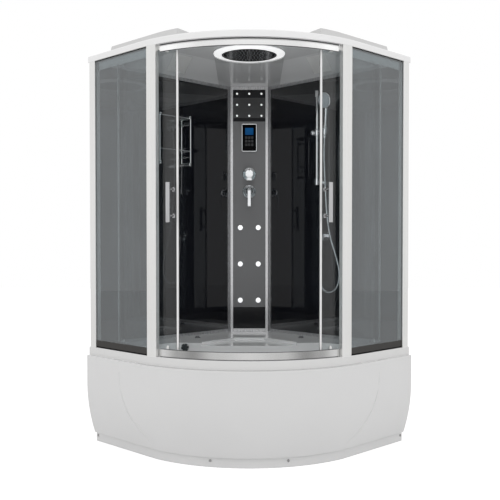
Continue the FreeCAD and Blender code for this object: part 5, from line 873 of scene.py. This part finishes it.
def make_rain_head():
    """Black rain shower with rings of nozzles, in a funnel-shaped white ring with a painted glow.
    """
    down = -UP
    Shape().turned(RAIN_MIDDLE, down, (
        (140, 0), (145.6, 0.4), (146, 2), (146, 11.4), (145, 13), (142.6, 13.6), (138, 12.4),
        (134, 12.2), (0.5, 12.2),
    ), 96).piece("rain_plate", RAIN_BLACK, "cabin", "rain_black", ("rain_shower",))
    funnel = (
        (146.6, 5.5), (146.6, 14.4), (147.4, 15.4), (149.5, 15.6), (152, 14.8), (186, 6.4),
        (188.4, 5.5), (188.8, 4.6), (146.6, 5.5),
    )
    ring = Shape().turned(RAIN_MIDDLE, down, funnel, 96, (False, False))
    # the ring holds no lamp; its glow is painted light
    ring.piece("rain_funnel_ring_painted_glow", RING_PAINTED_GLOW, "cabin", "lamp_diffuser", ("rain_bezel",))
    nozzles = Shape()
    for radius, count, start in (
        (16, 6, 0), (36, 12, 0.5), (56, 18, 0), (76, 24, 0.5), (96, 32, 0), (116, 38, 0.5),
    ):
        for turn in turns_of(count, start):
            spot = RAIN_MIDDLE + Vector((math.cos(turn), math.sin(turn), 0)) * radius * MM
            nozzles.turned(spot, down, ((3.0, 11.6), (2.8, 13.0), (1.9, 14.2), (0.6, 14.2)), 8)
    nozzles.piece("rain_nozzles", NOZZLE_GREY, "cabin", "rain_black")


make_jets()
make_control()
make_diverter()
make_mixer()
make_rain_head()


# ------------------------------------------------- hand shower and its rail
HOLDER_ALONG = LEAN @ ALONG[1]
HOLDER_OUT = INTO[1]
SPRAY_TILT = math.radians(12)  # the spray plate looks down by this much


def held_point(along, out, rise):
    """A point in the leaning holder's own frame, in metres."""
    return HOLDER_SPOT + (HOLDER_ALONG * along + HOLDER_OUT * out + HOLDER_UP * rise) * MM


def make_hand_shower():
    """Hand shower: nut, cone, slim grip that swells into a round head with a spray plate."""
    grip = Shape()
    stations = (
        (0, -40, 9.4), (0, -38.8, 10), (0, -24, 10), (0, -22.8, 9.2), (0, -21.6, 8.8),
        (0, -18, 10.6), (0, 14, 11.9), (0, 18, 12.2), (0, 24, 11.6), (0, 34, 9.8),
        (0, 60, 9.0), (0, 92, 9.4), (0, 118, 10.4), (1.5, 134, 11.4), (4.5, 146, 12.4),
        (7.5, 156, 12.6),
    )
    path = [held_point(0, out, rise) for out, rise, _ in stations]
    grip.swept(path, [radius for _, _, radius in stations], 28)
    face_way = HOLDER_OUT * math.cos(SPRAY_TILT) - HOLDER_UP * math.sin(SPRAY_TILT)
    middle = held_point(0, 24, 170)
    grip.turned(middle, face_way, (
        (6, -25), (16, -24.4), (27, -21), (36, -16.4), (41.6, -11), (43.8, -6.4), (44, -3.4),
        (43.2, -1.2), (41.4, -0.2), (40.2, -0.6),
    ), 64)
    grip.piece("hand_shower_body", CHROME, "shower_holder", "chrome", ("hand_shower",), 40)
    Shape().turned(middle, face_way, (
        (40.4, -3), (40.4, -0.7), (39, -0.2), (20, 0.4), (0.4, 0.5),
    ), 56).piece("hand_shower_plate", HEAD_GREY, "shower_holder", "hose_metal")
    nozzles = Shape()
    across, up = side_ways(face_way)
    for radius, count in ((8, 6), (17, 12), (26, 18), (34, 24)):
        for spot in circle(middle, across, up, radius, count):
            nozzles.turned(spot, face_way, ((1.6, 0), (1.5, 1.0), (0.9, 1.6), (0.3, 1.6)), 7)
    nozzles.piece("hand_shower_nozzles", NOZZLE_GREY, "shower_holder", "black_plastic")


def make_holder():
    """Barrel that holds the hand shower, tied to the slider's arm."""
    barrel = Shape()
    barrel.turned(HOLDER_SPOT, HOLDER_UP, (
        (12.8, -16.6), (14.4, -17), (15.6, -15.6), (16, -12), (16, 12), (15.6, 15.6),
        (14.4, 17), (13.0, 16.6), (12.6, 12), (11.4, -12), (12.8, -16.6),
    ), 48, (False, False))
    barrel.piece("holder_barrel", CHROME, "shower_holder", "chrome", ("handset_holder",))


def make_slider():
    """Slider on the riser rail, with a ball clamp knob and an arm to the holder."""
    middle = wall_point(612, 60, SLIDER_HEIGHT)
    slider = Shape()
    slider.turned(middle, UP, (
        (10.2, -18.6), (13.4, -19), (15.2, -17.4), (15.6, -14), (16, 0), (15.6, 14),
        (15.2, 17.4), (13.4, 19), (10.2, 18.6),
    ), 40)
    slider.turned(middle, -ALONG[1], (
        (6, 12), (6.2, 16), (7.2, 18), (11.4, 20.4), (14.2, 25), (15, 31), (14.2, 37),
        (11.4, 41.6), (7, 44.8), (0.4, 46),
    ), 36)
    start = wall_point(620, 61.5, SLIDER_HEIGHT)
    reach = wall_point(662, 70, SLIDER_HEIGHT)
    arm = [start.lerp(reach, share) for share in (0, 0.4, 0.8, 1)]
    slider.swept(arm, (9.5, 7.6, 7.2, 7.8), 20)
    slider.piece("slider_clamp", CHROME, "slider", "chrome", ("rail_slider",))


make_hand_shower()
make_holder()
make_slider()


# -------------------------------------------------------- doors and rails
LEAD_EDGE, TRAIL_EDGE = 27.9, 69.5  # degrees from the front, with the doors at rest
SEAL_FOOT, SEAL_HEAD = 536, 2001
HANGER_TURNS = (32, 61)
HANDLE_HEIGHT, HANDLE_LONG, STUD_PITCH = 1252, 190, 125
DOOR_SIDES = ((1, "right"), (-1, "left"))


def door_spot(radius, turn, height, side=1):
    """A point about the doors' axis, by its radius, degrees from the front, and height."""
    angle = math.radians(turn)
    return Vector((
        side * radius * math.sin(angle), DOOR_AXIS_Y - radius * math.cos(angle), height
    )) * MM


def upright(shape, plan, low, high, side):
    """A prism over a plan of (turn, radius) about the doors' axis."""
    loop = plan if side > 0 else tuple(reversed(plan))
    rings = [[door_spot(radius, turn, z, side) for turn, radius in loop] for z in (low, high)]
    return shape.rings(rings)


def make_seals():
    """Edge seals: a pale bulb strip clipped on the glass, with a dark lip."""
    lead, trail = LEAD_EDGE, TRAIL_EDGE
    for side, word in DOOR_SIDES:
        strip, lip = Shape(), Shape()
        upright(strip, (
            (lead - 0.62, 730.6), (lead - 0.68, 734), (lead - 0.62, 737.6), (lead - 0.5, 738.5),
            (lead + 0.10, 738.5), (lead + 0.13, 737.2), (lead - 0.02, 737.2),
            (lead - 0.02, 730.8), (lead + 0.13, 730.8), (lead + 0.10, 729.5),
            (lead - 0.5, 729.5),
        ), SEAL_FOOT, SEAL_HEAD, side)
        upright(strip, (
            (trail + 0.62, 730.6), (trail + 0.5, 729.5), (trail - 0.25, 729.5),
            (trail - 0.28, 730.8), (trail + 0.02, 730.8), (trail + 0.02, 737.2),
            (trail - 0.28, 737.2), (trail - 0.25, 738.5), (trail + 0.5, 738.5),
            (trail + 0.62, 737.6), (trail + 0.68, 734),
        ), SEAL_FOOT, SEAL_HEAD, side)
        upright(lip, (
            (lead + 0.13, 737.1), (lead + 0.13, 738.0), (lead + 0.25, 738.0), (lead + 0.25, 737.1),
        ), SEAL_FOOT + 0.5, SEAL_HEAD - 0.5, side)
        upright(lip, (
            (lead - 0.70, 732.6), (lead - 0.70, 735.4), (lead - 0.66, 735.4), (lead - 0.66, 732.6),
        ), SEAL_FOOT + 0.5, SEAL_HEAD - 0.5, side)
        node = f"door_seals_{word}"
        strip.piece(f"seal_strips_{word}", SEAL, f"door_{word}", "seal_white", (node,), 30)
        lip.piece(f"seal_lips_{word}", GASKET_AND_PAINTED_SHADE, f"door_{word}", "black_plastic")


def make_handles():
    """Flat square-ended bars on two studs with collars, nuts inside the glass."""
    turn = LEAD_EDGE + 1.4
    for side, word in DOOR_SIDES:
        angle = math.radians(turn)
        out = Vector((side * math.sin(angle), -math.cos(angle), 0))
        along = Vector((math.cos(angle), side * math.sin(angle), 0))
        handle = Shape()
        bar = door_spot(782, turn, HANDLE_HEIGHT, side)
        handle.slab(bar, (along, UP, out), 21.5, HANDLE_LONG, 8, 1.6, 1.0)
        for pitch in (-STUD_PITCH / 2, STUD_PITCH / 2):
            stud = door_spot(0, turn, HANDLE_HEIGHT + pitch, side)
            handle.turned(stud, out, ((5.6, 728), (6, 729), (6, 782.6)), 24)
            handle.turned(stud, out, (
                (7, 737.3), (10, 737.3), (10, 741.2), (9.2, 742.3), (6.4, 742.3),
            ), 28)
            handle.turned(stud, out, (
                (6.4, 724.9), (8.6, 724.9), (10, 726.2), (10, 730.7), (7, 730.7),
            ), 28)
        handle.piece(
            f"pull_bar_{word}", CHROME_SATIN, f"door_{word}", "chrome", (f"door_handle_{word}",)
        )


def make_hangers():
    """Top carriages behind the rail and small wedge guides on the bottom rail."""
    for side, word in DOOR_SIDES:
        hangers = Shape()
        for turn in HANGER_TURNS:
            upright(hangers, (
                (turn - 0.7, 737.3), (turn - 0.7, 742.6), (turn + 0.7, 742.6), (turn + 0.7, 737.3),
            ), 1972, 2000, side)
            upright(hangers, (
                (turn - 0.9, 728.5), (turn - 0.9, 730.7), (turn + 0.9, 730.7), (turn + 0.9, 728.5),
            ), 1970, 2000, side)
            rings = []
            for z, half, deep in ((549, 0.55, 742.8), (556, 0.5, 742.0), (565, 0.16, 739.6)):
                loop = [(turn - half, 737.3), (turn + half, 737.3), (turn + half, deep),
                        (turn - half, deep)]
                if side < 0:
                    loop.reverse()
                rings.append([door_spot(radius, angle, z, side) for angle, radius in loop])
            hangers.rings(rings)
            upright(hangers, (
                (turn - 0.45, 728.2), (turn - 0.45, 730.7), (turn + 0.45, 730.7),
                (turn + 0.45, 728.2),
            ), 536.4, 562, side)
        hangers.piece(
            f"carriages_{word}", WHITE_PLASTIC, f"door_{word}", "hanger_plastic",
            (f"door_hangers_{word}",),
        )


def make_rail_trims():
    """Thin cover strip of the top rail, and dark strips along both curved rails that paint the
    shadow lines at their edges.
    """
    Shape().curved((
        (755.6, 1974.4), (756.9, 1974.6), (757.6, 1977), (758.2, 1988), (757.6, 2000),
        (756.9, 2003.0), (755.6, 2003.4),
    ), 34.4).piece("top_rail_cover", RAIL_PAINTED_SHEEN, "cabin", "aluminium", (), 60)
    trims = Shape()
    # painted shadow: dark strips under the fascia, at the top rail's lower edge and at both edges
    # of the bottom rail
    for inner, outer, low, high in (
        (755.7, 757.0, 2003.6, 2007.6), (754.6, 757.2, 1971.8, 1974.2),
        (753.0, 755.3, 547.2, 549.4), (755.6, 756.4, 510.4, 512.6),
    ):
        profile = ((inner, low), (outer, low), (outer, high), (inner, high))
        trims.curved(profile, 34.6)
    trims.piece("rail_painted_shadow_strips", GASKET_AND_PAINTED_SHADE, "cabin", "black_plastic")


def make_shelf_bars():
    """Thick polished bars that tie the shelf's posts at each end."""
    bars = Shape()
    for along in (581, 797):
        for height in (1777.4, 1510.2):
            start = wall_point(along, 12, height, -1)
            bars.turned(start, INTO[-1], (
                (6, 0), (9, 0.8), (9.6, 3), (9.6, 38), (10, 39.4), (10, 44.6), (9.6, 46),
                (9.6, 88), (9, 92), (6.4, 94.6), (0.4, 95.4),
            ), 28)
    bars.piece("shelf_end_bars", CHROME, "cabin", "chrome")


def make_outlet_caps():
    """Low caps of the steam outlets, with slots drawn as dark patches of painted shade."""
    caps, slots = Shape(), Shape()
    for side in (1, -1):
        spot = Vector((side * 300, CORNER_Y - 466, 510.4)) * MM
        caps.turned(spot, UP, (
            (17, 0), (17, 1.6), (16, 2.6), (13, 3.0), (12.4, 6.4), (10.4, 9.0), (6, 10.2),
            (0.3, 10.4),
        ), 36)
        # painted shade: the slots are dark patches on the cap, not openings
        for turn in turns_of(12):
            way = Vector((math.cos(turn), math.sin(turn), 0))
            place = spot + (way * 11.6 + UP * 4.6) * MM
            slots.slab(place, (way.cross(UP), UP, way), 2.0, 3.2, 1.2, 0.8, 0.2)
    caps.piece("steam_caps", OUTLET_GREY, "cabin", "black_plastic", ("steam_outlets",))
    slots.piece("steam_slots", GASKET_AND_PAINTED_SHADE, "cabin", "black_plastic")


def seen_on(tree, across, down):
    """The point of a surface that a pixel of the photograph shows, and its normal there."""
    way = Vector((
        (across - PHOTO_MIDDLE[0]) / PHOTO_FOCAL, 1,
        -((down - PHOTO_MIDDLE[1]) / PHOTO_FOCAL + EYE_DROP),
    ))
    return tree.ray_cast(EYE, way.normalized())[:2]


def make_apron_creases():
    """The raised edges of the apron's middle field, fading out towards the foot."""
    mesh = nodes["front_apron"].data
    apron = BVHTree.FromPolygons(
        [vertex.co for vertex in mesh.vertices], [tuple(face.vertices) for face in mesh.polygons]
    )
    photo_line = (
        (130.6, 372.5), (130.4, 381), (129.2, 391), (126.6, 402), (122.6, 412.5),
        (117.2, 422), (111, 430.5), (104, 438), (96.5, 444.5), (89, 449.5),
    )  # pixels from the photograph's middle, and down
    edges = Shape()
    for side in (1, -1):
        path = []
        for across, down in photo_line:
            spot, normal = seen_on(apron, PHOTO_MIDDLE[0] + side * across, down)
            path.append(spot - normal * 0.6 * MM)
        edges.swept(path, (1.6, 2.2, 2.7, 3.1, 3.3, 3.3, 3.0, 2.4, 1.6, 0.8))
    edges.piece("apron_field_edges", APRON_WHITE, "cabin", "apron_acrylic", (), 60)


make_apron_creases()
make_seals()
make_handles()
make_hangers()
make_rail_trims()
make_shelf_bars()
make_outlet_caps()


# ------------------------------------------------------------------- stage
def seen_directly(tree, mirror_share=1.0):
    """1 for rays from the camera and through glass, and a share for a mirror image."""
    path = add(tree, "LightPath").outputs
    mirrored = maths(tree, "MULTIPLY", path["Is Glossy Ray"], mirror_share)
    direct = maths(tree, "MAXIMUM", path["Is Camera Ray"], mirrored)
    return maths(tree, "MAXIMUM", direct, path["Is Transmission Ray"])


def make_stage():
    """A plain pale floor that keeps the object's shadow."""
    material, tree = new_material("floor_pale")
    tone = spread(tree, object_noise(tree, 3), 0, 1)
    pale = add(tree, "BsdfDiffuse", {"Color": mixed(tree, tone, (0.86,) * 3, (0.87,) * 3)})
    strength = maths(tree, "MULTIPLY", seen_directly(tree, 0.3), 0.5)
    lift = add(tree, "Emission", {"Color": (1, 1, 1), "Strength": strength})
    total = add(tree, "AddShader")
    feed(tree, total.inputs[0], pale.outputs["BSDF"])
    feed(tree, total.inputs[1], lift.outputs["Emission"])
    show(tree, total.outputs["Shader"])
    reach = 14.0
    mesh = bpy.data.meshes.new("floor")
    corners = [(-reach, -reach, 0), (reach, -reach, 0), (reach, reach, 0), (-reach, reach, 0)]
    mesh.from_pydata(corners, [], [(0, 1, 2, 3)])
    mesh.materials.append(material)
    floor = bpy.data.objects.new("floor", mesh)
    bpy.context.scene.collection.objects.link(floor)


def make_world():
    """White where it is seen, and a softer white that lights the object."""
    world = bpy.data.worlds.new("studio")
    bpy.context.scene.world = world
    world.use_nodes = True
    tree = world.node_tree
    tree.nodes.clear()
    seen = add(tree, "Background", {"Color": (1, 1, 1), "Strength": 1.0})
    soft = add(tree, "Background", {"Color": (1.0, 0.996, 0.992), "Strength": 0.80})
    surround = layered(
        tree, seen_directly(tree), soft.outputs["Background"], seen.outputs["Background"]
    )
    feed(tree, add(tree, "OutputWorld").inputs["Surface"], surround)


def make_lamp(name, place, target, wide, tall, power):
    data = bpy.data.lights.new(name, "AREA")
    data.shape = "RECTANGLE"
    data.size = wide
    data.size_y = tall
    data.energy = power
    lamp = bpy.data.objects.new(name, data)
    lamp.location = place
    way = Vector(target) - Vector(place)
    lamp.rotation_euler = way.to_track_quat("-Z", "Y").to_euler()
    lamp.visible_camera = False
    lamp.visible_glossy = False
    lamp.visible_transmission = False
    bpy.context.scene.collection.objects.link(lamp)


def make_lights():
    make_lamp("softbox_top", (0.0, -2.6, 4.4), (0, 0, 1.0), 3.2, 2.2, 24)
    make_lamp("softbox_left", (-3.6, -2.6, 2.2), (0, 0, 1.0), 1.6, 2.8, 18)
    make_lamp("softbox_right", (3.6, -2.6, 2.2), (0, 0, 1.0), 1.6, 2.8, 18)
    make_lamp("cabin_down", (0.0, -0.05, 1.98), (0, -0.1, 0.4), 0.7, 0.5, 2.2)
    make_lamp("cabin_fill", (0.0, -0.2, 0.60), (0, -0.1, 2.0), 0.8, 0.5, 2.6)


make_stage()
make_world()
make_lights()
bpy.context.scene.view_settings.view_transform = "Standard"
